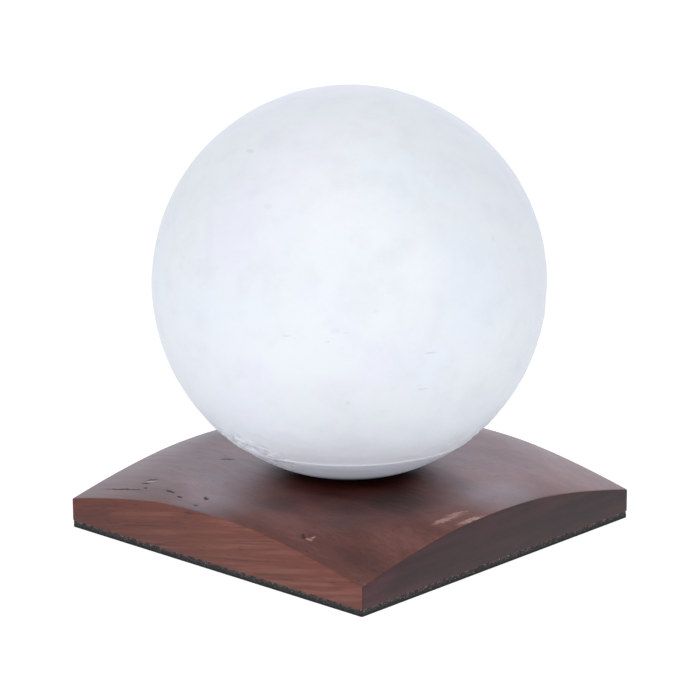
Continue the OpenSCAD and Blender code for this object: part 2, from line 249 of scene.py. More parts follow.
def add_round_block(low: Vector, high: Vector, radius: float, segments: int = 6) -> Piece:
    """Adds a block whose four upright edges are rounded.

    Args:
        low: The lowest corner.
        high: The highest corner.
        radius: The radius of the upright edges.
        segments: Faces across each rounded edge.

    Returns:
        The new object.
    """
    block = add_block(low, high)
    edit(block, "EDGE")
    select_edges(block, lambda a, b: abs(a.z - b.z) > MM and abs(a.x - b.x) < MM and abs(a.y - b.y) < MM)
    bpy.ops.mesh.bevel(offset=radius, segments=segments, affect="EDGES")
    leave_edit()
    return block


def add_rod(centre: Vector, radius: float, length: float, axis: str = "Z", sides: int = 48) -> Piece:
    """Adds a round rod.

    Args:
        centre: Its middle.
        radius: Its radius.
        length: Its length.
        axis: Z or Y.
        sides: Faces round it.

    Returns:
        The new object, with its place in its mesh.
    """
    deselect_all()
    turn = (math.pi / 2, 0, 0) if axis == "Y" else (0, 0, 0)
    bpy.ops.mesh.primitive_cylinder_add(
        vertices=sides, radius=radius, depth=length, location=centre, rotation=turn
    )
    rod = bpy.context.object
    settle(rod)
    return rod


def spin_profile(name: str, outline: Outline, steps: int) -> Piece:
    """Turns a half section about the upright axis.

    Args:
        name: The new object's name.
        outline: Places of the section as radius and height, in order.
        steps: Faces round the axis.

    Returns:
        The turned object, closed where the section meets the axis.
    """
    mesh = bpy.data.meshes.new(name)
    mesh.from_pydata([(r, 0, z) for r, z in outline], [(i, i + 1) for i in range(len(outline) - 1)], [])
    turned = bpy.data.objects.new(name, mesh)
    bpy.context.scene.collection.objects.link(turned)
    edit(turned, everything=True)
    bpy.ops.mesh.spin(steps=steps, angle=2 * math.pi, center=(0, 0, 0), axis=(0, 0, 1))
    leave_edit()
    face_outwards(turned)
    return turned


def dress(
    piece: Piece,
    name: str,
    body: Body,
    material: Material,
    replaced: Iterable[str] = (),
) -> None:
    """Names a finished piece, gives it its material and ties it to the frame.

    Args:
        piece: The finished piece.
        name: Its name.
        body: The body that it rides on.
        material: Its finish.
        replaced: The nodes that it stands for.
    """
    piece.name = name
    piece.data.name = name
    piece.data.materials.clear()
    piece.data.materials.append(material)
    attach(piece, body.value)
    for node in replaced:
        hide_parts(node)
    LOG.info("%s: %d faces on body %s", name, len(piece.data.polygons), body.value)


# Node helpers and the node groups that several finishes share


@dataclass
class NodeBuilder:
    """Adds and links nodes in one node tree.

    Attributes:
        tree: The tree that it works on.
    """

    tree: Tree

    def plug(self, socket: Socket, value: object) -> None:
        """Links an output to an input socket, or gives the input a constant.

        Args:
            socket: The input.
            value: The output that feeds it, or its constant.
        """
        if isinstance(value, Socket):
            self.tree.links.new(value, socket)
        elif isinstance(value, tuple) and len(value) == 3 and socket.type == "RGBA":
            socket.default_value = (*value, 1)
        else:
            socket.default_value = value

    def add(self, kind: str, values: dict[str, object] | None = None, **settings: object) -> Node:
        """Adds a node.

        Args:
            kind: The node's type, without its ShaderNode prefix where it has one.
            values: Input sockets by name, each with a constant or the output socket that feeds it.
            settings: The node's own properties.

        Returns:
            The new node.
        """
        node = self.tree.nodes.new(kind if kind.startswith("Node") else "ShaderNode" + kind)
        for key, value in settings.items():
            setattr(node, key, value)
        for key, value in (values or {}).items():
            self.plug(node.inputs[key], value)
        return node

    def operate(self, kind: str, operation: str, terms: tuple[object, ...]) -> Node:
        """Adds a Math or VectorMath node and plugs its terms in, in order.

        Args:
            kind: The node's type.
            operation: What it computes.
            terms: Its inputs, in order.

        Returns:
            The new node.
        """
        node = self.add(kind, operation=operation)
        for socket, term in zip(node.inputs, terms):
            self.plug(socket, term)
        return node

    def math(self, operation: str, *terms: object) -> Socket:
        """Returns the value of a Math node."""
        return self.operate("Math", operation, terms).outputs[0]

    def plus(self, first: object, second: object) -> Socket:
        """Returns the sum of two values."""
        return self.math("ADD", first, second)

    def minus(self, first: object, second: object) -> Socket:
        """Returns the difference of two values."""
        return self.math("SUBTRACT", first, second)

    def times(self, first: object, second: object) -> Socket:
        """Returns the product of two values."""
        return self.math("MULTIPLY", first, second)

    def vector(self, operation: str, *terms: object) -> Socket:
        """Returns the vector of a Vector Math node, or its value where it measures."""
        node = self.operate("VectorMath", operation, terms)
        return node.outputs["Value" if operation in ("LENGTH", "DISTANCE") else "Vector"]

    def mix(self, factor: object, first: object, second: object, blend: str = "MIX") -> Socket:
        """Mixes two colours.

        Args:
            factor: The share of the second colour.
            first: The first colour.
            second: The second colour.
            blend: How the two are blended.

        Returns:
            The mixed colour.
        """
        node = self.add("Mix", data_type="RGBA", blend_type=blend, clamp_factor=True)
        for index, term in ((0, factor), (6, first), (7, second)):
            self.plug(node.inputs[index], term)
        return node.outputs[2]

    def shaded(self, colour: Socket, value: Socket, dark: float, light: float) -> Socket:
        """Makes a colour darker or lighter by a value.

        Args:
            colour: The colour.
            value: The value, from 0 to 1.
            dark: What the colour is multiplied by where the value is 0.
            light: What it is multiplied by where the value is 1.

        Returns:
            The shaded colour.
        """
        grey = self.ramp(value, 0.0, 1.0, dark, light)
        return self.vector("MULTIPLY", colour, self.joined(X=grey, Y=grey, Z=grey))

    def ramp(self, value: object, low: float, high: float, to_low: object = 0, to_high: object = 1) -> Socket:
        """Maps a value smoothly and clamped from one range to another.

        Args:
            value: The value to map.
            low: Where the first range starts.
            high: Where the first range ends.
            to_low: What the start maps to.
            to_high: What the end maps to.

        Returns:
            The mapped value.
        """
        values = {"Value": value, "From Min": low, "From Max": high, "To Min": to_low, "To Max": to_high}
        return self.add("MapRange", values, interpolation_type="SMOOTHSTEP").outputs[0]

    def noise(self, vector: object, scale: object, detail: float = 3, roughness: float = 0.55) -> Socket:
        """Returns the value of a noise texture."""
        values = {"Vector": vector, "Scale": scale, "Detail": detail, "Roughness": roughness}
        return self.add("TexNoise", values).outputs["Fac"]

    def grain(self, place: Socket, scale: Triple, detail: float, roughness: float = 0.55) -> Socket:
        """Returns a noise with its own scale along each axis."""
        return self.noise(self.stretched(place, scale), 1.0, detail, roughness)

    def place(self) -> Socket:
        """Returns the place on the piece, in its own frame."""
        return self.add("TexCoord").outputs["Object"]

    def split(self, vector: object) -> bpy.types.bpy_prop_collection:
        """Returns the X, Y and Z of a vector."""
        return self.add("SeparateXYZ", {"Vector": vector}).outputs

    def joined(self, **values: Socket) -> Socket:
        """Returns the vector of values for X, Y and Z."""
        return self.add("CombineXYZ", values).outputs[0]

    def stored(self, name: str) -> Socket:
        """Returns the value that the mesh stores under a name."""
        return self.add("Attribute", attribute_name=name).outputs["Fac"]

    def stretched(self, vector: object, scale: Triple, turn: Triple = (0, 0, 0)) -> Socket:
        """Scales a place along each axis, then turns it about each, in degrees."""
        angles = tuple(math.radians(angle) for angle in turn)
        return self.add("Mapping", {"Vector": vector, "Scale": scale, "Rotation": angles}).outputs[0]

    def wandering(self, place: Socket, scale: float, reach: Triple, detail: float = 2.0) -> Socket:
        """Moves places about, so that what is painted on them has uneven outlines.

        Args:
            place: The places.
            scale: Scale of the noise that moves them.
            reach: Twice as far as it moves them along each axis, in metres.
            detail: Detail of the noise.

        Returns:
            The moved places.
        """
        drift = self.add("TexNoise", {"Vector": place, "Scale": scale, "Detail": detail}).outputs["Color"]
        centred = self.vector("SUBTRACT", drift, (0.5, 0.5, 0.5))
        return self.vector("ADD", place, self.vector("MULTIPLY", centred, reach))

    def bump(self, height: Socket, depth: float) -> Socket:
        """Returns the normal of a surface raised by a height, where 1 stands for a depth in metres."""
        return self.add("Bump", {"Height": height, "Distance": depth, "Strength": 1.0}).outputs[0]

    def group(self, tree: Tree, **values: object) -> bpy.types.bpy_prop_collection:
        """Places a shared group with its own values and returns its outputs.

        Args:
            tree: The group's tree.
            values: Its inputs by name.

        Returns:
            The group's outputs.
        """
        node = self.add("Group")
        node.node_tree = tree
        for key, value in values.items():
            self.plug(node.inputs[key], value)
        return node.outputs

    def feed(self, shader: Node, **sockets: Socket) -> None:
        """Links outputs to a shader's sockets, named with underscores for spaces."""
        for key, output in sockets.items():
            self.plug(shader.inputs[key.replace("_", " ")], output)


def new_group(name: str, inputs: dict[str, object], outputs: dict[str, str]) -> NodeBuilder:
    """Starts a shader node group with named sockets.

    Args:
        name: The group's name.
        inputs: Each input with its default: a number, or a colour of three.
        outputs: Each output with its socket type.

    Returns:
        A builder for the group's tree.
    """
    tree = bpy.data.node_groups.new(name, "ShaderNodeTree")
    for label, default in inputs.items():
        is_colour = isinstance(default, tuple)
        kind = "NodeSocketColor" if is_colour else "NodeSocketFloat"
        socket = tree.interface.new_socket(name=label, in_out="INPUT", socket_type=kind)
        socket.default_value = (*default, 1) if is_colour else default
    for label, kind in outputs.items():
        tree.interface.new_socket(name=label, in_out="OUTPUT", socket_type=kind)
    return NodeBuilder(tree)


def mottle_group() -> Tree:
    """Makes the group that blotches a surface between two colours.

    Returns:
        The group, with inputs Dark, Light and Scale and outputs Color and Mask.
    """
    name = "Mottle"
    if name in bpy.data.node_groups:
        return bpy.data.node_groups[name]
    build = new_group(
        name,
        {"Dark": (0.2, 0.2, 0.2), "Light": (0.4, 0.4, 0.4), "Scale": 60.0},
        {"Color": "NodeSocketColor", "Mask": "NodeSocketFloat"},
    )
    given = build.add("NodeGroupInput").outputs
    mask = build.ramp(build.noise(build.place(), given["Scale"], 4, 0.5), 0.32, 0.68)
    colour = build.mix(mask, given["Dark"], given["Light"])
    build.add("NodeGroupOutput", {"Color": colour, "Mask": mask})
    return build.tree


def speckle_group() -> Tree:
    """Makes the group that scatters small specks and a fine tooth.

    Returns:
        The group, with inputs Scale and Cover and outputs Specks and Tooth.
    """
    name = "Speckle"
    if name in bpy.data.node_groups:
        return bpy.data.node_groups[name]
    build = new_group(
        name,
        {"Scale": 900.0, "Cover": 0.2},
        {"Specks": "NodeSocketFloat", "Tooth": "NodeSocketFloat"},
    )
    given = build.add("NodeGroupInput").outputs
    cells = build.add("TexVoronoi", {"Vector": build.place(), "Scale": given["Scale"]}, feature="F1")
    chance = build.add("SeparateColor", {"Color": cells.outputs["Color"]}).outputs[0]
    chosen = build.math("LESS_THAN", chance, given["Cover"])
    near = build.ramp(cells.outputs["Distance"], 0.45, 0.15)
    specks = build.times(chosen, near)
    fine = build.noise(build.place(), given["Scale"], 2, 0.5)
    build.add("NodeGroupOutput", {"Specks": specks, "Tooth": fine})
    return build.tree


# Finishes


class Area:
    """A part of a surface that a finish marks or tints."""

    def mask(self, build: NodeBuilder, place: Socket) -> Socket:
        """Returns how strongly the area shows at each place."""
        raise NotImplementedError


def spread(build: NodeBuilder, place: Socket, areas: Iterable[Area]) -> Socket:
    """Returns the strongest mask of several areas.

    Args:
        build: Builder for the material's tree.
        place: The places.
        areas: The areas.

    Returns:
        The joined mask.
    """
    return reduce(partial(build.math, "MAXIMUM"), (area.mask(build, place) for area in areas))


@dataclass(frozen=True)
class Mark(Area):
    """A small long mark on the wood, such as an open pore or a fleck.

    Attributes:
        centre: Its middle.
        length: Half its length, along the grain.
        width: Half its width.
        turn: Its turn about the upright axis, in degrees.
    """

    centre: Triple
    length: float
    width: float
    turn: float = 0.0

    def mask(self, build: NodeBuilder, place: Socket) -> Socket:
        """Returns 1 on the mark and 0 off it.

        Args:
            build: Builder for the material's tree.
            place: The places.

        Returns:
            The mask.
        """
        shifted = build.vector("SUBTRACT", place, self.centre)
        turned = build.stretched(shifted, (1, 1, 1), (0, 0, -self.turn))
        scale = (1 / self.length, 1 / self.width, 0.05 / self.width)
        return build.ramp(build.vector("LENGTH", build.stretched(turned, scale)), 1.25, 0.45)


@dataclass(frozen=True)
class Plain(Area):
    """A soft wide tint, like one of the moon's plains.

    Attributes:
        centre: Its middle.
        reach: Its radius.
        strength: How much of its tint shows in its middle.
    """

    centre: Triple
    reach: float
    strength: float = 0.7

    def mask(self, build: NodeBuilder, place: Socket) -> Socket:
        """Returns the tint's strength, which fades from its middle outwards."""
        away = build.vector("DISTANCE", place, self.centre)
        return build.ramp(away, 1.1 * self.reach, 0.2 * self.reach, 0.0, self.strength)


@dataclass(frozen=True)
class Dash(Area):
    """A faint level mark on a globe.

    Attributes:
        centre: Its middle.
        length: Half its length.
        width: Half its height.
        strength: How dark it is.
    """

    centre: Triple
    length: float
    width: float = 0.0006
    strength: float = 0.22

    def mask(self, build: NodeBuilder, place: Socket) -> Socket:
        """Returns the mark's strength, with a soft outline."""
        centred = build.vector("SUBTRACT", place, self.centre)
        scaled = build.stretched(centred, (1 / self.length, 1 / self.length, 1 / self.width))
        return build.ramp(build.vector("LENGTH", scaled), 1.1, 0.5, 0.0, self.strength)


@dataclass(frozen=True)
class Finish:
    """A finish that can be made into a material.

    Attributes:
        name: The material's name.
        roughness: How dull it is.
        metallic: How metallic it is.
        coat: Weight of a clear coat.
    """

    name: str
    roughness: float = 0.5
    metallic: float = 0.0
    coat: float = 0.0

    def material(self) -> Material:
        """Returns the finish's material, made on first use."""
        found = bpy.data.materials.get(self.name)
        return found or self.make()

    def make(self) -> Material:
        """Makes the material and lets the finish paint its surface.

        Returns:
            The new material.
        """
        material = bpy.data.materials.new(self.name)
        material.use_nodes = True
        build = NodeBuilder(material.node_tree)
        shader = material.node_tree.nodes["Principled BSDF"]
        shader.inputs["Roughness"].default_value = self.roughness
        shader.inputs["Metallic"].default_value = self.metallic
        shader.inputs["Coat Weight"].default_value = self.coat
        self.paint(build, shader)
        return material

    def paint(self, build: NodeBuilder, shader: Node) -> None:
        """Feeds the shader's sockets.

        Args:
            build: Builder for the material's tree.
            shader: The material's Principled BSDF.
        """
        raise NotImplementedError


@dataclass(frozen=True)
class Walnut(Finish):
    """Satin varnished walnut with its grain along X, climbing gently to +X.

    Attributes:
        latewood: Colour of the dark lines.
        heartwood: Colour of the wood between them.
        pale: Colour of the light streaks.
        sapwood: Colour of the palest streaks.
        pore: Colour of open pores.
        painted_shade_tint: What the wood's colour is multiplied by in the painted shade round the globe's
            foot.
        end_dark: Darker colour of the faces across the grain.
        end_light: Lighter colour of them.
        specular: Strength of the varnish's straight reflection, as the shader takes it.
        climb: Angle at which the grain climbs, in degrees.
        ring_scale: Scale of the growth rings, as the Wave texture takes it.
        pith: Place of the rings' middle, under and behind the block.
        pores: Open pores that are large enough to see one by one.
        sap_streaks: Pale streaks along the +X arris.
        knot_dark: Dark half of a small fleck.
        knot_pale: Pale half of it.
        painted_shade_patches: Patches of painted shade in front of the moon.
        painted_sheen: Colour of a painted sheen on the varnish.
        painted_sheen_patches: Where it shows.
        streak_scale: Scale of the streaks along each axis.
        cloud_scale: Scale of the wide clouds.
        fibre_scale: Scale of the fibres.
        pore_scale: Scale of the small open pores.
        line_scale: Scale of the thin dark lines.
        drift: How far the grain wanders along each axis, twice over, in metres.
        ragged: The same for the outlines of marks.
        painted_far_shade: What the colour is multiplied by towards -X, as a painted shade.
        wear_and_highlight_tint: What it is multiplied by on the arrises, for wear and a painted highlight.
        tooth: Depth of the grain, in metres.
    """

    latewood: Colour = (0.078, 0.017, 0.010)
    heartwood: Colour = (0.132, 0.032, 0.020)
    pale: Colour = (0.188, 0.062, 0.046)
    sapwood: Colour = (0.42, 0.23, 0.19)
    pore: Colour = (0.012, 0.006, 0.006)
    painted_shade_tint: Colour = (0.42, 0.23, 0.19)
    end_dark: Colour = (0.026, 0.004, 0.008)
    end_light: Colour = (0.050, 0.010, 0.015)
    specular: float = 0.38
    climb: float = 12.0
    ring_scale: float = 85.0
    pith: Triple = (0.0, -0.030, 0.110)
    pores: tuple[Mark, ...] = (
        Mark((-0.0652, -0.0821, 0.0211), 0.0145, 0.0006, -1.0),
        Mark((-0.0568, -0.0726, 0.0253), 0.0035, 0.0007, 13.0),
        Mark((-0.0567, -0.0763, 0.0245), 0.0027, 0.0007, 4.0),
        Mark((-0.0524, -0.0802, 0.0243), 0.0013, 0.0008, 3.0),
        Mark((-0.0361, -0.0807, 0.0262), 0.0043, 0.0008, -14.0),
        Mark((-0.0273, -0.0833, 0.0263), 0.0022, 0.0008, -3.0),
        Mark((-0.0131, -0.0869, 0.0263), 0.0012, 0.0007, -5.0),
        Mark((-0.0144, -0.0792, 0.0272), 0.0026, 0.0009, -37.0),
        Mark((-0.0489, -0.0314, 0.0274), 0.0031, 0.0008, 39.0),
    )
    sap_streaks: tuple[Mark, ...] = (
        Mark((0.0829, -0.0263, 0.0264), 0.0100, 0.0016, 85.0),
        Mark((0.0818, -0.0190, 0.0268), 0.0070, 0.0010, 79.0),
        Mark((0.0897, -0.0188, 0.0252), 0.0095, 0.0013, 84.0),
    )
    knot_dark: tuple[Mark, ...] = (
        Mark((0.0485, -0.0818, 0.0246), 0.0019, 0.0008, -25.0),
        Mark((0.0495, -0.0828, 0.0242), 0.0014, 0.0007, 20.0),
    )
    knot_pale: tuple[Mark, ...] = (
        Mark((0.0516, -0.0823, 0.0241), 0.0017, 0.0006, 20.0),
        Mark((0.0524, -0.0802, 0.0244), 0.0016, 0.0006, 75.0),
        Mark((-0.0557, -0.0741, 0.0252), 0.0024, 0.0006, 18.0),
    )
    painted_shade_patches: tuple[Plain, ...] = (
        Plain((0.054, -0.026, 0.0274), 0.028, 0.60),
        Plain((0.056, -0.061, 0.0270), 0.019, 0.40),
        Plain((0.045, -0.048, 0.0274), 0.020, 0.45),
        Plain((0.015, -0.064, 0.0274), 0.018, 0.40),
    )
    painted_sheen: Colour = (0.29, 0.255, 0.30)
    painted_sheen_patches: tuple[Plain, ...] = (
        Plain((0.080, 0.012, 0.0272), 0.026, 0.30),
        Plain((-0.009, -0.081, 0.0272), 0.024, 0.26),
        Plain((-0.022, -0.060, 0.0274), 0.022, 0.12),
    )
    streak_scale: Triple = (15, 430, 430)
    cloud_scale: Triple = (15, 48, 48)
    fibre_scale: Triple = (60, 1500, 1500)
    pore_scale: Triple = (150, 1700, 1700)
    line_scale: Triple = (24, 760, 760)
    drift: Triple = (0.004, 0.008, 0.0018)
    ragged: Triple = (0.0035, 0.0022, 0.0022)
    painted_far_shade: Colour = (0.58, 0.34, 0.24)
    wear_and_highlight_tint: Colour = (1.45, 1.6, 1.7)
    tooth: float = 0.00002

    def paint(self, build: NodeBuilder, shader: Node) -> None:
        """Paints the board's wood, then its marks, end grain and lightened arrises, with painted shade round
        the globe's foot, painted patches of shade, a painted sheen, a painted shade towards -X and the top
        darkened and sides lightened to suit the light.

        Args:
            build: Builder for the material's tree.
            shader: The material's Principled BSDF.
        """
        place = build.place()
        normal = build.split(build.add("TexCoord").outputs["Normal"])
        end = build.ramp(build.math("ABSOLUTE", normal[0]), 0.55, 0.95)
        upper = build.ramp(normal[2], 0.3, 0.7)
        grain = build.stretched(place, (1, 1, 1), (0, self.climb, 0))
        warped = build.wandering(grain, 16.0, self.drift)
        streaks = build.ramp(build.grain(warped, self.streak_scale, 4), 0.32, 0.68)
        fibres = build.grain(warped, self.fibre_scale, 2)
        open_pores = build.ramp(build.grain(grain, self.pore_scale, 1), 0.71, 0.79)
        globe_shade = self.painted_shade_mask(build, place)

        colour = self.board(build, warped, streaks, upper)
        # Painted shade: the wood round the globe's foot is darkened where the globe shades it.
        colour = build.mix(globe_shade, colour, build.mix(1.0, colour, self.painted_shade_tint, "MULTIPLY"))
        # Painted shade: the wood is darker towards -X, where less light falls.
        far = build.mix(1.0, colour, self.painted_far_shade, "MULTIPLY")
        colour = build.mix(build.ramp(build.split(place)[0], 0.01, -0.09), colour, far)
        # Painted light and shade: the sides are lightened and the top darkened to suit how the light falls.
        colour = build.shaded(colour, upper, 1.14, 0.84)
        wide = build.wandering(place, 16.0, self.drift)
        # Painted shade in patches in front of the moon.
        shade_patch_mask = build.times(spread(build, wide, self.painted_shade_patches), upper)
        colour = build.shaded(colour, shade_patch_mask, 1.0, 0.12)
        # Painted sheen: a pale lavender tint where the varnish reflects the light.
        sheen_mask = build.times(spread(build, wide, self.painted_sheen_patches), upper)
        colour = build.mix(sheen_mask, colour, self.painted_sheen)
        colour = build.shaded(colour, self.growth_lines(build, warped), 0.88, 1.0)
        colour = build.shaded(colour, build.ramp(fibres, 0.3, 0.7), 0.94, 1.05)
        colour = build.mix(build.times(open_pores, 0.5), colour, self.pore)

        uneven = build.wandering(place, 420.0, self.ragged)
        strokes = build.ramp(build.grain(uneven, (900, 50, 900), 2), 0.38, 0.56)
        deep = self.marks(build, uneven, (*self.pores, *self.knot_dark), fibres, 1.0)
        colour = build.mix(self.marks(build, uneven, self.sap_streaks, strokes, 0.9), colour, self.sapwood)
        colour = build.mix(deep, colour, self.pore)
        colour = build.mix(self.marks(build, uneven, self.knot_pale, fibres, 0.9), colour, self.sapwood)
        colour = build.mix(end, colour, self.across_grain(build, place))
        # The arrises are lightened, partly for wear and partly as a painted highlight.
        lightened_arris = build.mix(1.0, colour, self.wear_and_highlight_tint, "MULTIPLY")
        colour = build.mix(build.times(build.stored("arris"), 0.35), colour, lightened_arris)

        height = build.minus(build.times(fibres, 0.2), build.times(open_pores, 0.4))
        height = build.minus(height, build.times(deep, 8.0))
        dull = build.plus(build.times(streaks, 0.3), build.plus(open_pores, deep))
        dull = build.plus(dull, build.times(globe_shade, 0.45))
        rough = build.ramp(dull, 0.0, 1.2, self.roughness, self.roughness + 0.3)
        shader.inputs["Specular IOR Level"].default_value = self.specular
        build.feed(shader, Base_Color=colour, Roughness=rough, Normal=build.bump(height, self.tooth))

    def board(self, build: NodeBuilder, warped: Socket, streaks: Socket, upper: Socket) -> Socket:
        """Returns the colour of plain wood: streaked on the sides, cloudy on the top.

        Args:
            build: Builder for the material's tree.
            warped: Places along the wandering grain.
            streaks: Value of the streaks.
            upper: 1 on the top and 0 on the sides.

        Returns:
            The colour.
        """
        clouds = build.ramp(build.grain(warped, self.cloud_scale, 3), 0.30, 0.70)
        sides = build.plus(build.plus(build.times(streaks, 0.45), build.times(clouds, 0.27)), 0.17)
        top = build.plus(build.times(streaks, 0.22), build.times(clouds, 0.78))
        tone = build.ramp(upper, 0.0, 1.0, sides, top)
        colour = build.mix(build.ramp(tone, 0.06, 0.46), self.latewood, self.heartwood)
        colour = build.mix(build.ramp(tone, 0.50, 0.95), colour, self.pale)
        lines = build.ramp(build.grain(warped, self.line_scale, 2), 0.62, 0.71)
        return build.shaded(colour, lines, 1.0, 0.58)

    def painted_shade_mask(self, build: NodeBuilder, place: Socket) -> Socket:
        """Returns 1 where shade is painted round the globe's foot, in the middle of the board, with an uneven
        edge.

        Args:
            build: Builder for the material's tree.
            place: The places.

        Returns:
            The mask.
        """
        shifted = build.vector("SUBTRACT", place, (0.008, -0.008, 0.0))
        turned = build.stretched(shifted, (1, 1, 1), (0, 0, 45))
        away = build.vector("LENGTH", build.stretched(turned, (13, 22, 1)))
        return build.ramp(build.plus(away, build.times(build.noise(place, 45.0, 3), 0.5)), 1.36, 0.46)

    def across_grain(self, build: NodeBuilder, place: Socket) -> Socket:
        """Returns the colour of the two faces across the grain, where varnish sinks in and darkens, with a
        painted shade towards +Y.

        Args:
            build: Builder for the material's tree.
            place: The places.

        Returns:
            The colour.
        """
        bands = build.ramp(build.grain(place, (300, 22, 240), 3), 0.32, 0.70)
        clouds = build.ramp(build.grain(place, (60, 20, 60), 2), 0.35, 0.65)
        colour = build.mix(bands, self.end_dark, self.end_light)
        # Painted shade: these faces darken towards +Y, where less light falls.
        colour = build.shaded(colour, build.ramp(build.split(place)[1], -0.05, 0.09), 1.1, 0.6)
        return build.shaded(colour, clouds, 0.70, 1.25)

    def growth_lines(self, build: NodeBuilder, place: Socket) -> Socket:
        """Returns 0 on the thin dark lines of the growth rings round the pith, and 1 between them.

        Args:
            build: Builder for the material's tree.
            place: The places.

        Returns:
            The mask.
        """
        values = {
            "Vector": build.stretched(build.vector("ADD", place, self.pith), (0.08, 1, 1)),
            "Scale": self.ring_scale,
            "Distortion": 2.6,
            "Detail": 3.0,
            "Detail Scale": 1.4,
            "Detail Roughness": 0.55,
        }
        wave = build.add("TexWave", values, wave_type="RINGS", rings_direction="X", wave_profile="SAW")
        line = build.ramp(wave.outputs["Fac"], 0.0, 0.30)
        return build.math("MAXIMUM", line, build.ramp(build.grain(place, (12, 60, 60), 2), 0.40, 0.60))

    def marks(
        self, build: NodeBuilder, place: Socket, marks: Iterable[Mark], texture: Socket, strength: float
    ) -> Socket:
        """Returns the mask of several marks, broken up by a texture.

        Args:
            build: Builder for the material's tree.
            place: The place on the block.
            marks: The marks.
            texture: What breaks them up.
            strength: The mask's greatest value.

        Returns:
            The mask.
        """
        broken = build.ramp(texture, 0.2, 0.6, 0.45 * strength, strength)
        return build.times(spread(build, place, marks), broken)


@dataclass(frozen=True)
class Foam(Finish):
    """Dark cut foam with pale specks, most of them along its ragged upper edge.

    Attributes:
        dark: Its darker colour.
        light: Its lighter colour.
        speck: Colour of the specks.
        frayed: Colour of the ragged edge.
        shadow: Colour of the painted shadow along its foot.
        speck_scale: Scale of the specks.
        top: Level of the upper edge.
        tooth: Depth of its open surface, in metres.
    """

    dark: Colour = (0.014, 0.013, 0.015)
    light: Colour = (0.040, 0.037, 0.039)
    speck: Colour = (0.26, 0.25, 0.25)
    frayed: Colour = (0.17, 0.105, 0.095)
    shadow: Colour = (0.004, 0.005, 0.007)
    speck_scale: float = 1300.0
    top: float = 0.0033
    tooth: float = 0.00018

    def paint(self, build: NodeBuilder, shader: Node) -> None:
        """Paints blotches, specks, the frayed edge, a painted shadow along the foot and a coarse open
        surface.

        Args:
            build: Builder for the material's tree.
            shader: The material's Principled BSDF.
        """
        place = build.place()
        blotch = build.group(mottle_group(), Dark=self.dark, Light=self.light, Scale=520.0)
        specks = build.group(speckle_group(), Scale=self.speck_scale, Cover=0.16)
        level = build.split(place)[2]
        near_top = build.ramp(level, 0.55 * self.top, 0.95 * self.top)
        ragged = build.ramp(build.noise(place, 330.0, 4), 0.42, 0.58)
        fray = build.times(build.times(near_top, ragged), 0.8)
        colour = build.mix(fray, blotch["Color"], self.frayed)
        colour = build.mix(build.times(specks["Specks"], 0.8), colour, self.speck)
        # Painted shadow along the foot of the foam.
        foot_shadow_mask = build.ramp(level, 0.50 * self.top, 0.20 * self.top, 0.0, 0.92)
        colour = build.mix(foot_shadow_mask, colour, self.shadow)
        height = build.plus(specks["Tooth"], build.times(blotch["Mask"], 0.8))
        build.feed(shader, Base_Color=colour, Normal=build.bump(height, self.tooth))


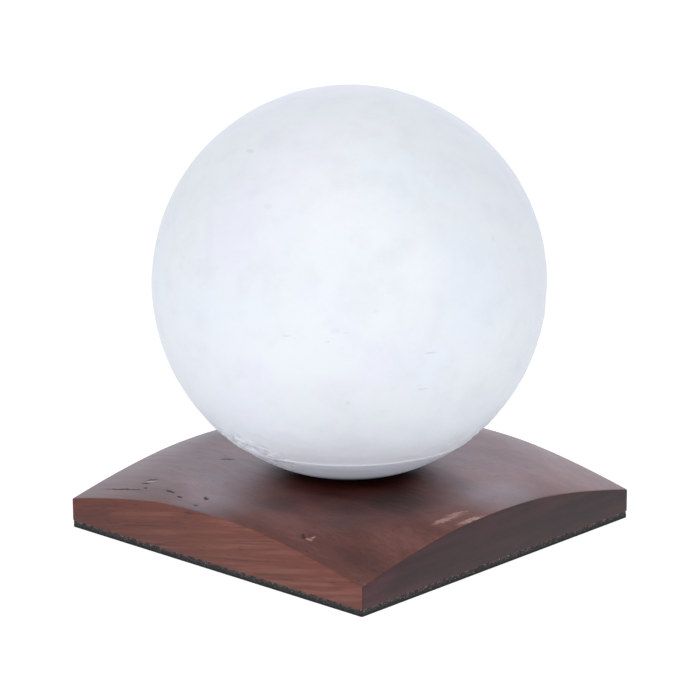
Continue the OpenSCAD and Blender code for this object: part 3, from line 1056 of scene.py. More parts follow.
@dataclass(frozen=True)
class Printed(Finish):
    """White plastic printed in thin level layers, with faint tints like the moon's plains.

    Attributes:
        ground: Colour of most of it.
        lilac: Its warmer tint.
        blue: Its cooler tint.
        grime_and_pit_shade: Colour of marks in its layers, and of painted shade in the hollows of craggy
            ground.
        painted_highlight: Colour of painted highlights on craggy ground and on the lip at the seam, and of a
            painted lighter band low down.
        foot: Colour of the painted shadow that the cap fades to round its foot.
        foot_shadow_radius: Radius at which the fade to that painted shadow ends.
        seam: Level of the seam.
        streak_level: Level under which layer streaks and the painted lighter band show.
        layer: Height of a printed layer.
        lumps: Depth of its uneven surface, in metres.
        painted_glow: Colour of the light painted low on the globe, as if it glowed.
        painted_glow_level: Level under which that painted glow shows.
        lilac_plains: The warmer plains that can be told apart.
        blue_plains: The cooler ones.
        pale_plains: The palest ones.
        dashes: Faint level marks.
        band_scale: Scale of the layer streaks along each axis.
        nick_scale: Scale of the small nicks.
        rubble_scale: Scale of the rubble in craggy ground.
    """

    ground: Colour = (0.860, 0.895, 0.935)
    lilac: Colour = (0.860, 0.865, 0.950)
    blue: Colour = (0.820, 0.885, 0.950)
    grime_and_pit_shade: Colour = (0.52, 0.53, 0.57)
    painted_highlight: Colour = (0.95, 0.96, 0.99)
    foot: Colour = (0.035, 0.030, 0.035)
    foot_shadow_radius: float = 0.030
    seam: float = 0.044792
    streak_level: float = 0.062
    layer: float = 0.0002
    lumps: float = 0.0004
    painted_glow: Colour = (0.250, 0.290, 0.355)
    painted_glow_level: float = 0.088
    lilac_plains: tuple[Plain, ...] = (
        Plain((0.018, -0.055, 0.183), 0.025),
        Plain((0.011, -0.068, 0.172), 0.021),
        Plain((0.006, -0.082, 0.150), 0.024),
        Plain((0.030, -0.078, 0.146), 0.016, 0.5),
        Plain((0.070, -0.053, 0.098), 0.022),
        Plain((0.026, -0.083, 0.094), 0.019, 0.6),
        Plain((0.056, -0.064, 0.086), 0.017, 0.7),
    )
    blue_plains: tuple[Plain, ...] = (
        Plain((0.084, -0.018, 0.141), 0.027),
        Plain((0.088, -0.014, 0.120), 0.027),
        Plain((0.056, -0.030, 0.178), 0.030),
        Plain((0.081, -0.033, 0.096), 0.018, 0.7),
        Plain((-0.004, -0.090, 0.118), 0.020, 0.4),
    )
    pale_plains: tuple[Plain, ...] = (
        Plain((0.042, -0.046, 0.180), 0.050, 0.80),
        Plain((0.029, -0.071, 0.161), 0.020, 0.45),
        Plain((0.076, -0.038, 0.143), 0.017, 0.55),
        Plain((0.038, -0.078, 0.104), 0.018, 0.12),
        Plain((0.060, -0.064, 0.125), 0.020, 0.12),
    )
    dashes: tuple[Dash, ...] = (
        Dash((-0.0058, -0.0571, 0.1835), 0.0030, 0.0008),
        Dash((0.0191, -0.0716, 0.1651), 0.0022, 0.0014, 0.12),
        Dash((0.0565, -0.0698, 0.1157), 0.0026, 0.0013, 0.14),
        Dash((0.0600, -0.0670, 0.1150), 0.0012, 0.0006, 0.14),
        Dash((0.0383, -0.0812, 0.1126), 0.0024, 0.0006),
        Dash((0.0815, -0.0362, 0.1037), 0.0034, 0.0006, 0.30),
        Dash((0.0772, -0.0366, 0.0868), 0.0032, 0.0006),
        Dash((0.0564, -0.0619, 0.0819), 0.0013, 0.0010),
        Dash((0.0834, 0.0022, 0.1476), 0.0016, 0.0016, 0.12),
        Dash((0.0686, -0.0571, 0.1242), 0.0020, 0.0010, 0.10),
    )
    band_scale: Triple = (20, 20, 620)
    nick_scale: Triple = (90, 90, 300)
    rubble_scale: Triple = (300, 300, 560)

    def paint(self, build: NodeBuilder, shader: Node) -> None:
        """Paints tints, layer streaks, sparse marks, painted highlights on the seam, the crags and a low
        band, painted shade in hollows and round the foot, a painted glow, layer lines and soft relief.

        Args:
            build: Builder for the material's tree.
            shader: The material's Principled BSDF.
        """
        place = build.place()
        parts = build.split(place)
        craggy = build.stored("craggy")
        low = build.ramp(parts[2], self.streak_level, self.streak_level - 0.02)
        bands = build.grain(place, self.band_scale, 3)
        nicks = build.ramp(build.grain(place, self.nick_scale, 2), 0.755, 0.80)
        rubble = build.grain(place, self.rubble_scale, 3, 0.6)
        # Painted highlights on the tops of craggy ground and painted shade in its hollows.
        crest_highlights = build.times(build.ramp(rubble, 0.54, 0.60), craggy)
        pit_shade = build.times(build.ramp(rubble, 0.46, 0.38), craggy)
        # A painted highlight along the seam.
        above = build.minus(parts[2], self.seam + 0.0006)
        line = build.ramp(build.math("ABSOLUTE", above), 0.0009, 0.0005, 0.0, 0.9)

        colour = self.tinted(build, place)
        streaks = build.times(build.ramp(bands, 0.50, 0.72), low)
        # The low band, the craggy tops and the seam line get painted highlights and the hollows painted
        # shade; the rest are marks of the print.
        for share, tint in (
            (build.ramp(build.noise(place, 70.0, 4, 0.6), 0.42, 0.72, 0.0, 0.10), self.grime_and_pit_shade),
            (build.times(low, 0.60), self.painted_highlight),
            (build.times(streaks, 0.22), self.grime_and_pit_shade),
            (build.times(nicks, 0.45), self.grime_and_pit_shade),
            (spread(build, place, self.dashes), self.grime_and_pit_shade),
            (build.times(crest_highlights, 0.60), self.painted_highlight),
            (build.times(pit_shade, 0.45), self.grime_and_pit_shade),
            (line, self.painted_highlight),
        ):
            colour = build.mix(share, colour, tint)
        # Painted shadow round the foot, where the cap sits close to the base.
        across = build.vector("LENGTH", build.joined(X=parts[0], Y=parts[1]))
        foot = build.ramp(across, self.foot_shadow_radius + 0.014, self.foot_shadow_radius)
        foot_shadow = build.times(foot, build.ramp(parts[2], 0.044, 0.038))
        colour = build.mix(foot_shadow, colour, self.foot)

        # Painted glow on the unlit globe, low down, with painted glints on the seam line and craggy tops and
        # less in the hollows.
        glow_mask = build.times(build.ramp(parts[2], self.painted_glow_level, self.seam), build.minus(1.0, foot_shadow))
        glint_glow = build.times(build.math("MAXIMUM", line, build.times(crest_highlights, 0.8)), 0.42)
        glint_glow = build.minus(glint_glow, build.times(pit_shade, 0.22))
        glow = build.mix(build.times(glow_mask, build.plus(0.48, glint_glow)), (0.0, 0.0, 0.0), self.painted_glow)
        shader.inputs["Emission Strength"].default_value = 1.0

        wave = build.math("SINE", build.times(parts[2], 2 * math.pi / self.layer))
        crags = build.times(rubble, build.times(craggy, 2.0))
        height = build.plus(build.noise(place, 62.0, 5, 0.62), build.times(build.times(bands, low), 0.35))
        height = build.plus(build.plus(height, crags), build.times(wave, 0.015))
        height = build.minus(height, build.times(nicks, 0.5))
        normal = build.bump(height, self.lumps)
        build.feed(shader, Base_Color=colour, Emission_Color=glow, Normal=normal)

    def tinted(self, build: NodeBuilder, place: Socket) -> Socket:
        """Returns the ground's colour with its faint tints and plains.

        Args:
            build: Builder for the material's tree.
            place: The places.

        Returns:
            The colour.
        """
        wander = build.vector("ADD", place, (0.31, 0.12, 0.07))
        cooler = build.ramp(build.noise(wander, 15.0, 3, 0.55), 0.44, 0.64, 0.0, 0.40)
        warmer = build.ramp(build.noise(place, 19.0, 4, 0.6), 0.46, 0.62, 0.0, 0.40)
        colour = build.mix(cooler, self.ground, self.blue)
        colour = build.mix(warmer, colour, self.lilac)
        ragged = build.wandering(place, 55.0, (0.035, 0.035, 0.035), 3.0)
        colour = build.mix(spread(build, ragged, self.blue_plains), colour, self.blue)
        colour = build.mix(spread(build, ragged, self.lilac_plains), colour, self.lilac)
        paler = build.mix(1.0, colour, (1.07, 1.06, 1.04), "MULTIPLY")
        return build.mix(spread(build, ragged, self.pale_plains), colour, paler)


@dataclass(frozen=True)
class Moulded(Finish):
    """Moulded plastic or sleeve with a fine tooth.

    Attributes:
        dark: Its darker colour.
        light: Its lighter colour.
        tooth: Depth of the tooth, in metres.
    """

    dark: Colour = (0.02, 0.02, 0.022)
    light: Colour = (0.035, 0.035, 0.038)
    tooth: float = 0.00003

    def paint(self, build: NodeBuilder, shader: Node) -> None:
        """Paints a faint blotch and the tooth.

        Args:
            build: Builder for the material's tree.
            shader: The material's Principled BSDF.
        """
        blotch = build.group(mottle_group(), Dark=self.dark, Light=self.light, Scale=140.0)
        grit = build.group(speckle_group(), Scale=2600.0, Cover=0.1)
        rough = build.ramp(grit["Tooth"], 0.3, 0.7, self.roughness - 0.05, self.roughness + 0.08)
        normal = build.bump(grit["Tooth"], self.tooth)
        build.feed(shader, Base_Color=blotch["Color"], Roughness=rough, Normal=normal)


@dataclass(frozen=True)
class Metal(Finish):
    """Plated, ground or turned metal with fine marks.

    Attributes:
        dark: Its darker colour.
        light: Its lighter colour.
        marks: Scale of the marks along each axis.
        depth: Depth of the marks, in metres.
    """

    metallic: float = 1.0
    dark: Colour = (0.42, 0.42, 0.43)
    light: Colour = (0.6, 0.6, 0.61)
    marks: Triple = (900, 900, 90)
    depth: float = 0.00001

    def paint(self, build: NodeBuilder, shader: Node) -> None:
        """Paints a faint tarnish and the marks.

        Args:
            build: Builder for the material's tree.
            shader: The material's Principled BSDF.
        """
        blotch = build.group(mottle_group(), Dark=self.dark, Light=self.light, Scale=180.0)
        marks = build.grain(build.place(), self.marks, 3)
        rough = build.ramp(marks, 0.3, 0.7, self.roughness - 0.08, self.roughness + 0.1)
        normal = build.bump(marks, self.depth)
        build.feed(shader, Base_Color=blotch["Color"], Roughness=rough, Normal=normal)


@dataclass(frozen=True)
class Copper(Finish):
    """Enamelled copper wire, wound in turns that a bump shows.

    Attributes:
        pattern: Whether the turns lie flat round the axis or stand upright on each other.
        wire: Diameter of the wire, in metres.
    """

    metallic: float = 1.0
    pattern: Pattern = Pattern.FLAT
    wire: float = 0.0005

    def paint(self, build: NodeBuilder, shader: Node) -> None:
        """Paints the enamel, with painted shade between the turns.

        Args:
            build: Builder for the material's tree.
            shader: The material's Principled BSDF.
        """
        blotch = build.group(mottle_group(), Dark=(0.42, 0.14, 0.05), Light=(0.66, 0.27, 0.11), Scale=220.0)
        place = build.split(build.place())
        across = place[2]
        if self.pattern is Pattern.FLAT:
            flat = build.plus(build.math("POWER", place[0], 2.0), build.math("POWER", place[1], 2.0))
            across = build.math("SQRT", flat)
        wave = build.math("ABSOLUTE", build.math("SINE", build.times(across, math.pi / self.wire)))
        # Painted shade: the enamel is darkened in the grooves between the turns.
        colour = build.mix(build.ramp(wave, 0.0, 0.5), (0.10, 0.03, 0.012), blotch["Color"])
        build.feed(shader, Base_Color=colour, Normal=build.bump(wave, self.wire / 3))


@dataclass(frozen=True)
class SolderMask(Finish):
    """Coated circuit board with tracks that show through its coat.

    Attributes:
        mask: Colour of the coat over bare board.
        track: Colour of the coat over copper.
    """

    mask: Colour = (0.010, 0.070, 0.030)
    track: Colour = (0.022, 0.125, 0.055)

    def paint(self, build: NodeBuilder, shader: Node) -> None:
        """Paints the tracks as a stepped lattice, a little raised.

        Args:
            build: Builder for the material's tree.
            shader: The material's Principled BSDF.
        """
        cells = build.add(
            "TexVoronoi", {"Vector": build.place(), "Scale": 330.0}, feature="F1", distance="CHEBYCHEV"
        )
        steps = build.add("SeparateColor", {"Color": cells.outputs["Color"]}).outputs[1]
        track = build.ramp(steps, 0.45, 0.5)
        blotch = build.group(mottle_group(), Dark=self.mask, Light=self.track, Scale=90.0)
        colour = build.mix(track, blotch["Color"], self.track)
        build.feed(shader, Base_Color=colour, Normal=build.bump(track, 0.00003))


WALNUT = Walnut("walnut_satin", roughness=0.36)
FOAM = Foam("cut_foam", roughness=0.9)
PRINTED = Printed("printed_white", roughness=0.55)
CAP_PRINT = Printed(
    "printed_cap",
    roughness=0.6,
    ground=(0.80, 0.81, 0.86),
    lilac=(0.78, 0.785, 0.85),
    blue=(0.77, 0.80, 0.86),
    painted_highlight=(0.83, 0.84, 0.89),
)
BLACK_PLASTIC = Moulded("black_plastic", roughness=0.5)
CHIP = Moulded("chip_resin", roughness=0.42, dark=(0.012, 0.012, 0.013), light=(0.022, 0.022, 0.024))
IVORY_PLASTIC = Moulded("ivory_plastic", roughness=0.45, dark=(0.62, 0.6, 0.55), light=(0.72, 0.7, 0.66))
WHITE_PLASTIC = Moulded("white_plastic", roughness=0.45, dark=(0.66, 0.66, 0.66), light=(0.76, 0.76, 0.75))
WHITE_COAT = Moulded("white_board_coat", roughness=0.35, dark=(0.76, 0.76, 0.76), light=(0.84, 0.84, 0.84))
BLUE_SLEEVE = Moulded("capacitor_sleeve", roughness=0.35, dark=(0.012, 0.02, 0.07), light=(0.02, 0.033, 0.1))
GEL = Moulded("diode_gel", roughness=0.2, coat=0.6, dark=(0.72, 0.56, 0.14), light=(0.84, 0.70, 0.26))
ZINC = Metal("zinc_plate", roughness=0.35)
CORE_STEEL = Metal("core_steel", roughness=0.42, dark=(0.28, 0.28, 0.3), light=(0.4, 0.4, 0.42))
NICKEL = Metal("nickel_plate", roughness=0.2, dark=(0.56, 0.55, 0.53), light=(0.7, 0.69, 0.67))
BRASS = Metal("turned_brass", roughness=0.3, dark=(0.5, 0.32, 0.11), light=(0.66, 0.45, 0.18))
FOIL = Metal("copper_foil", roughness=0.4, dark=(0.5, 0.2, 0.09), light=(0.7, 0.32, 0.16), depth=0.00002)
FERRITE = Metal(
    "ground_ferrite", roughness=0.6, metallic=0.3, dark=(0.035, 0.035, 0.037), light=(0.06, 0.06, 0.063)
)
FLAT_WIRE = Copper("flat_winding", roughness=0.32)
UPRIGHT_WIRE = Copper("upright_winding", roughness=0.32, pattern=Pattern.UPRIGHT, wire=0.0004)
BOARD = SolderMask("solder_mask", roughness=0.35)


# Base


@dataclass
class WoodBlock:
    """The crowned walnut block, hollowed from below.

    Attributes:
        side: Its width and depth.
        bottom: Level of its underside.
        top: Level of the crown's middle.
        flat_radius: Radius up to which the crown is level.
        shoulder_radius: Radius of the arc that rounds the crown's shoulder.
        slope: Slope of the crown beyond its shoulder, in degrees.
        shoulder_steps: Faces across the shoulder.
        crown_reach: Radius at which the crown's form ends, outside the block.
        upright_radius: Radius of the upright edges.
        arris: Width of the eased top arrises.
        cells: Faces along each side of the top.
        recess_side: Width of the recess of the bottom plate.
        recess_top: Level of the recess.
        recess_radius: Radius of its corners.
        pocket_side: Width of the pocket of the levitation unit.
        pocket_top: Level of the pocket's roof.
        pocket_radius: Radius of its corners.
        bay_width: Width of the bay that runs from the pocket to the inlet.
        bay_ledge: How much wider the recess is than the bay, all round.
        bay_end: How far the bay reaches to +Y.
        inlet_radius: Radius of the inlet hole in the +Y face.
        inlet_level: Level of the inlet hole's axis.
        pilot_reach: Distance of the pilot holes from the middle, along X and Y.
        pilot_radius: Their radius.
        pilot_top: Level up to which they go.
    """

    side: float = 182 * MM
    bottom: float = 3.3 * MM
    top: float = 27.4 * MM
    flat_radius: float = 76 * MM
    shoulder_radius: float = 66 * MM
    slope: float = 18.3
    shoulder_steps: int = 24
    crown_reach: float = 140 * MM
    upright_radius: float = 0.8 * MM
    arris: float = 0.45 * MM
    cells: int = 130
    recess_side: float = 133.2 * MM
    recess_top: float = 5.3 * MM
    recess_radius: float = 5.3 * MM
    pocket_side: float = 120.6 * MM
    pocket_top: float = 24.4 * MM
    pocket_radius: float = 6 * MM
    bay_width: float = 20 * MM
    bay_ledge: float = 2.8 * MM
    bay_end: float = 85 * MM
    inlet_radius: float = 5.5 * MM
    inlet_level: float = 16.3 * MM
    pilot_reach: float = 62 * MM
    pilot_radius: float = 1.55 * MM
    pilot_top: float = 14.35 * MM

    def crown_profile(self) -> Outline:
        """Returns the crown's half section as radius and height.

        Returns:
            The points as radius and height.
        """
        slope = math.radians(self.slope)
        points = [(0.0, self.top), (self.flat_radius, self.top)]
        for step in range(1, self.shoulder_steps + 1):
            angle = slope * step / self.shoulder_steps
            radius = self.flat_radius + self.shoulder_radius * math.sin(angle)
            points.append((radius, self.top - self.shoulder_radius * (1 - math.cos(angle))))
        radius, height = points[-1]
        points.append((self.crown_reach, height - (self.crown_reach - radius) * math.tan(slope)))
        return points

    def build(self) -> None:
        """Builds the block and dresses it in walnut."""
        block = self.crowned_top()
        self.drop_sides(block)
        self.round_edges(block)
        self.hollow(block)
        face_outwards(block)
        smooth(block, 32)
        self.mark_arrises(block)
        dress(block, "walnut_block", Body.BASE, WALNUT.material(), ["wood_body"])

    def crowned_top(self) -> Piece:
        """Lays a square sheet of faces on a turned crown.

        Returns:
            The sheet, bent to the crown.
        """
        crown = spin_profile("crown_form", self.crown_profile(), 360)
        deselect_all()
        cells = {"x_subdivisions": self.cells, "y_subdivisions": self.cells}
        bpy.ops.mesh.primitive_grid_add(size=self.side, location=(0, 0, 2 * self.top), **cells)
        sheet = bpy.context.object
        settle(sheet)
        apply_modifier(
            sheet,
            "SHRINKWRAP",
            target=crown,
            wrap_method="PROJECT",
            use_project_z=True,
            use_negative_direction=True,
            use_positive_direction=False,
        )
        bpy.data.objects.remove(crown, do_unlink=True)
        return sheet

    def drop_sides(self, block: Piece) -> None:
        """Extrudes the sheet's rim down to the underside and closes it.

        Args:
            block: The block.
        """
        edit(block, "EDGE")
        bpy.ops.mesh.select_non_manifold()
        bpy.ops.mesh.extrude_region_move()
        bpy.ops.transform.resize(value=(1, 1, 0), center_override=(0, 0, self.bottom))
        bpy.ops.mesh.edge_face_add()
        leave_edit()

    def round_edges(self, block: Piece) -> None:
        """Rounds the upright edges, then eases the arrises of the top and the bottom.

        Args:
            block: The block.
        """
        corner = self.side / 2 - MM / 10
        edit(block, "EDGE")
        select_edges(
            block,
            lambda a, b: min(abs(a.x), abs(a.y), abs(b.x), abs(b.y)) > corner and abs(a.z - b.z) > MM,
        )
        bpy.ops.mesh.bevel(offset=self.upright_radius, segments=5, affect="EDGES")
        rim = self.side / 2 - self.upright_radius / 3
        above = self.bottom + MM
        foot = self.bottom + MM / 10
        for chosen, width in (
            (lambda a, b: min(a.z, b.z) > above, self.arris),
            (lambda a, b: max(a.z, b.z) < foot, self.arris / 2),
        ):
            edit(block, "EDGE")
            select_edges(block, lambda a, b: chosen(a, b) and self.on_rim(a, rim) and self.on_rim(b, rim))
            bpy.ops.mesh.bevel(offset=width, segments=3, affect="EDGES", clamp_overlap=True)
            leave_edit()

    def on_rim(self, place: Vector, rim: float) -> bool:
        """Returns whether a place lies on the block's outline."""
        return max(abs(place.x), abs(place.y)) > rim

    def milling(self, half: float, near: float, far: float, top: float, radius: float = 0.0) -> Piece:
        """Adds a cutter that reaches up from below the block.

        Args:
            half: Half its width along X.
            near: Where it starts along Y.
            far: Where it ends along Y.
            top: Level up to which it cuts.
            radius: Radius of its upright edges.

        Returns:
            The cutter.
        """
        low, high = Vector((-half, near, self.bottom - MM)), Vector((half, far, top))
        return add_round_block(low, high, radius) if radius else add_block(low, high)

    def hollow(self, block: Piece) -> None:
        """Cuts the recess, the pocket, the bay, the inlet hole and the pilot holes.

        Args:
            block: The block.
        """
        half = self.pocket_side / 2
        far = self.recess_side / 2
        bay = self.bay_width / 2
        ledge = self.bay_ledge
        inlet = Vector((0, self.side / 2, self.inlet_level))
        cutters = [
            self.milling(far, -far, far, self.recess_top, self.recess_radius),
            self.milling(bay + ledge, 0, self.bay_end + ledge, self.recess_top),
            self.milling(half, -half, half, self.pocket_top, self.pocket_radius),
            self.milling(bay, 0, self.bay_end, self.pocket_top),
            add_rod(inlet, self.inlet_radius, self.side / 4, "Y", 64),
        ]
        length = self.pilot_top - (self.bottom - MM)
        level = self.bottom - MM + length / 2
        for x in (-self.pilot_reach, self.pilot_reach):
            for y in (-self.pilot_reach, self.pilot_reach):
                cutters.append(add_rod(Vector((x, y, level)), self.pilot_radius, length, sides=20))
        for cutter in cutters:
            combine(block, cutter)

    def mark_arrises(self, block: Piece) -> None:
        """Stores on each vertex how much its arris is lightened, for wear and a painted highlight: 1 on the
        outer arrises.

        Args:
            block: The block.
        """
        edge = self.side / 2 - 1.6 * self.arris
        values = []
        for vertex in block.data.vertices:
            rim = self.on_rim(vertex.co, edge)
            wall = self.on_rim(vertex.co, self.side / 2 - MM / 100)
            low = vertex.co.z < self.bottom + MM
            values.append(1.0 if rim and not wall else 0.4 * (rim and not low))
        store(block, "arris", values)


@dataclass
class FoamPad:
    """The cut foam sheet glued under the block.

    Attributes:
        side: Its width and depth.
        thickness: Its thickness.
        corner_radius: Radius of its corners.
        columns: Faces along each side.
        rows: Faces up its edge.
        roughness: How far its cut edge is torn inwards.
        sag: How far its upper edge is torn down.
        tear_scale: Scale of the tears.
        chip_scale: Scale of the larger chips.
    """

    side: float = 181.6 * MM
    thickness: float = 3.3 * MM
    corner_radius: float = 0.7 * MM
    columns: int = 240
    rows: int = 6
    roughness: float = 0.35 * MM
    sag: float = 0.25 * MM
    tear_scale: float = 900
    chip_scale: float = 260

    def build(self) -> None:
        """Builds the pad and dresses it in foam."""
        pad = self.sheet()
        self.roughen(pad)
        face_outwards(pad)
        smooth(pad, 50)
        dress(pad, "base_foam", Body.BASE, FOAM.material(), ["base_pad"])

    def sheet(self) -> Piece:
        """Returns a sheet with rounded corners and a finely divided edge.

        Returns:
            The sheet.
        """
        deselect_all()
        bpy.ops.mesh.primitive_plane_add(size=self.side, location=(0, 0, 0))
        pad = bpy.context.object
        settle(pad)
        edit(pad, everything=True)
        bpy.ops.mesh.bevel(offset=self.corner_radius, segments=8, affect="VERTICES")
        long_edge = self.side / 2
        select_edges(pad, lambda a, b: (a - b).length > long_edge)
        bpy.ops.mesh.subdivide(number_cuts=self.columns, ngon=True)
        bpy.ops.mesh.select_all(action="SELECT")
        rise = {"value": (0, 0, self.thickness / self.rows)}
        for _ in range(self.rows):
            bpy.ops.mesh.extrude_region_move(TRANSFORM_OT_translate=rise)
        leave_edit()
        return pad

    def roughen(self, pad: Piece) -> None:
        """Tears the cut edge inwards by small uneven amounts, most of all near its top.

        Args:
            pad: The pad.
        """
        for vertex in pad.data.vertices:
            place = vertex.co
            level = place.z / self.thickness
            torn = noise.fractal(place * self.tear_scale, 0.6, 2.0, 3) * 0.5 + 0.5
            chipped = noise.noise(place * self.chip_scale + Vector((7, 3, 1))) * 0.5 + 0.5
            depth = self.roughness * (0.25 * torn + 0.75 * level * torn * chipped)
            inward = Vector((place.x, place.y, 0)) / (self.side / 2)
            vertex.co = place - inward * max(0.0, depth)
            if level > 0.99:
                vertex.co.z -= self.sag * max(0.0, chipped - 0.3)


@dataclass
class Fittings:
    """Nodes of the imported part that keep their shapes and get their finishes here.

    Attributes:
        finishes: The finish of each node.
    """

    finishes: dict[str, Finish]

    def build(self) -> None:
        """Gives each node its finish."""
        for node, finish in self.finishes.items():
            piece = frame["nodes"][node]
            piece.data.materials.clear()
            piece.data.materials.append(finish.material())
            LOG.info("%s: finished in %s", node, finish.name)


@dataclass
class BaseFittings(Fittings):
    """Everything inside the block."""

    finishes: dict[str, Finish] = field(
        default_factory=lambda: {
            "bottom_plate": BLACK_PLASTIC,
            "plate_screws": ZINC,
            "board_posts": BRASS,
            "control_board": BOARD,
            "board_screws": ZINC,
            "coil_drivers": CHIP,
            "controller_chip": CHIP,
            "choke": FERRITE,
            "capacitors": BLUE_SLEEVE,
            "coil_frame": WHITE_PLASTIC,
            "ring_magnet": FERRITE,
            "coil_bobbins": IVORY_PLASTIC,
            "coil_windings": UPRIGHT_WIRE,
            "coil_cores": CORE_STEEL,
            "sensor_board": BOARD,
            "magnetic_sensors": CHIP,
            "power_ferrite": FERRITE,
            "power_coil": FLAT_WIRE,
            "touch_foil": FOIL,
            "dc_jack": BLACK_PLASTIC,
            "jack_pin": ZINC,
            "jack_contact": BRASS,
        }
    )


# Moon


@dataclass
class Crater:
    """One crater of the moon's relief.

    Attributes:
        centre: Its direction from the moon's middle.
        reach: Its angular radius, in radians.
        depth: Its depth, in metres.
    """

    centre: np.ndarray
    reach: float
    depth: float

    def height(self, directions: np.ndarray) -> np.ndarray:
        """Returns what the crater adds to the height at each direction.

        Args:
            directions: Unit vectors, one a row.

        Returns:
            The heights, below zero in the bowl and above it on the rim.
        """
        away = np.sqrt(np.maximum(0.0, 2 - 2 * directions @ self.centre)) / self.reach
        bowl = np.minimum(0.0, away**2 - 1.0) * (away < 1)
        rim = np.exp(-(((away - 1.05) / 0.22) ** 2))
        return self.depth * (bowl + 0.35 * rim)


@dataclass(frozen=True)
class Crags:
    """Where the moon's ground is craggy: low, and away from its smooth side.

    Attributes:
        smooth_side: Direction of the smoothest side.
        azimuths: Azimuths of the craggiest ground and of a gentler stretch.
        gentler: How craggy the gentler stretch is.
    """

    smooth_side: Triple = (0.657, -0.705, 0.265)
    azimuths: tuple[float, float] = (-1.95, 0.35)
    gentler: float = 0.35

    def amount(self, directions: np.ndarray) -> np.ndarray:
        """Returns how craggy the ground is.

        Args:
            directions: Unit vectors from the moon's middle, one a row.

        Returns:
            Values from 0 to 1.
        """
        azimuth = np.arctan2(directions[:, 1], directions[:, 0])
        first = fade(np.abs(azimuth - self.azimuths[0]), 0.85, 0.30)
        second = fade(np.abs(azimuth - self.azimuths[1]), 0.70, 0.30)
        low = fade(directions[:, 2], -0.60, 0.10)
        away = fade(directions @ self.smooth_side, 0.44, 0.12)
        return low * away * np.maximum(first, self.gentler * second)


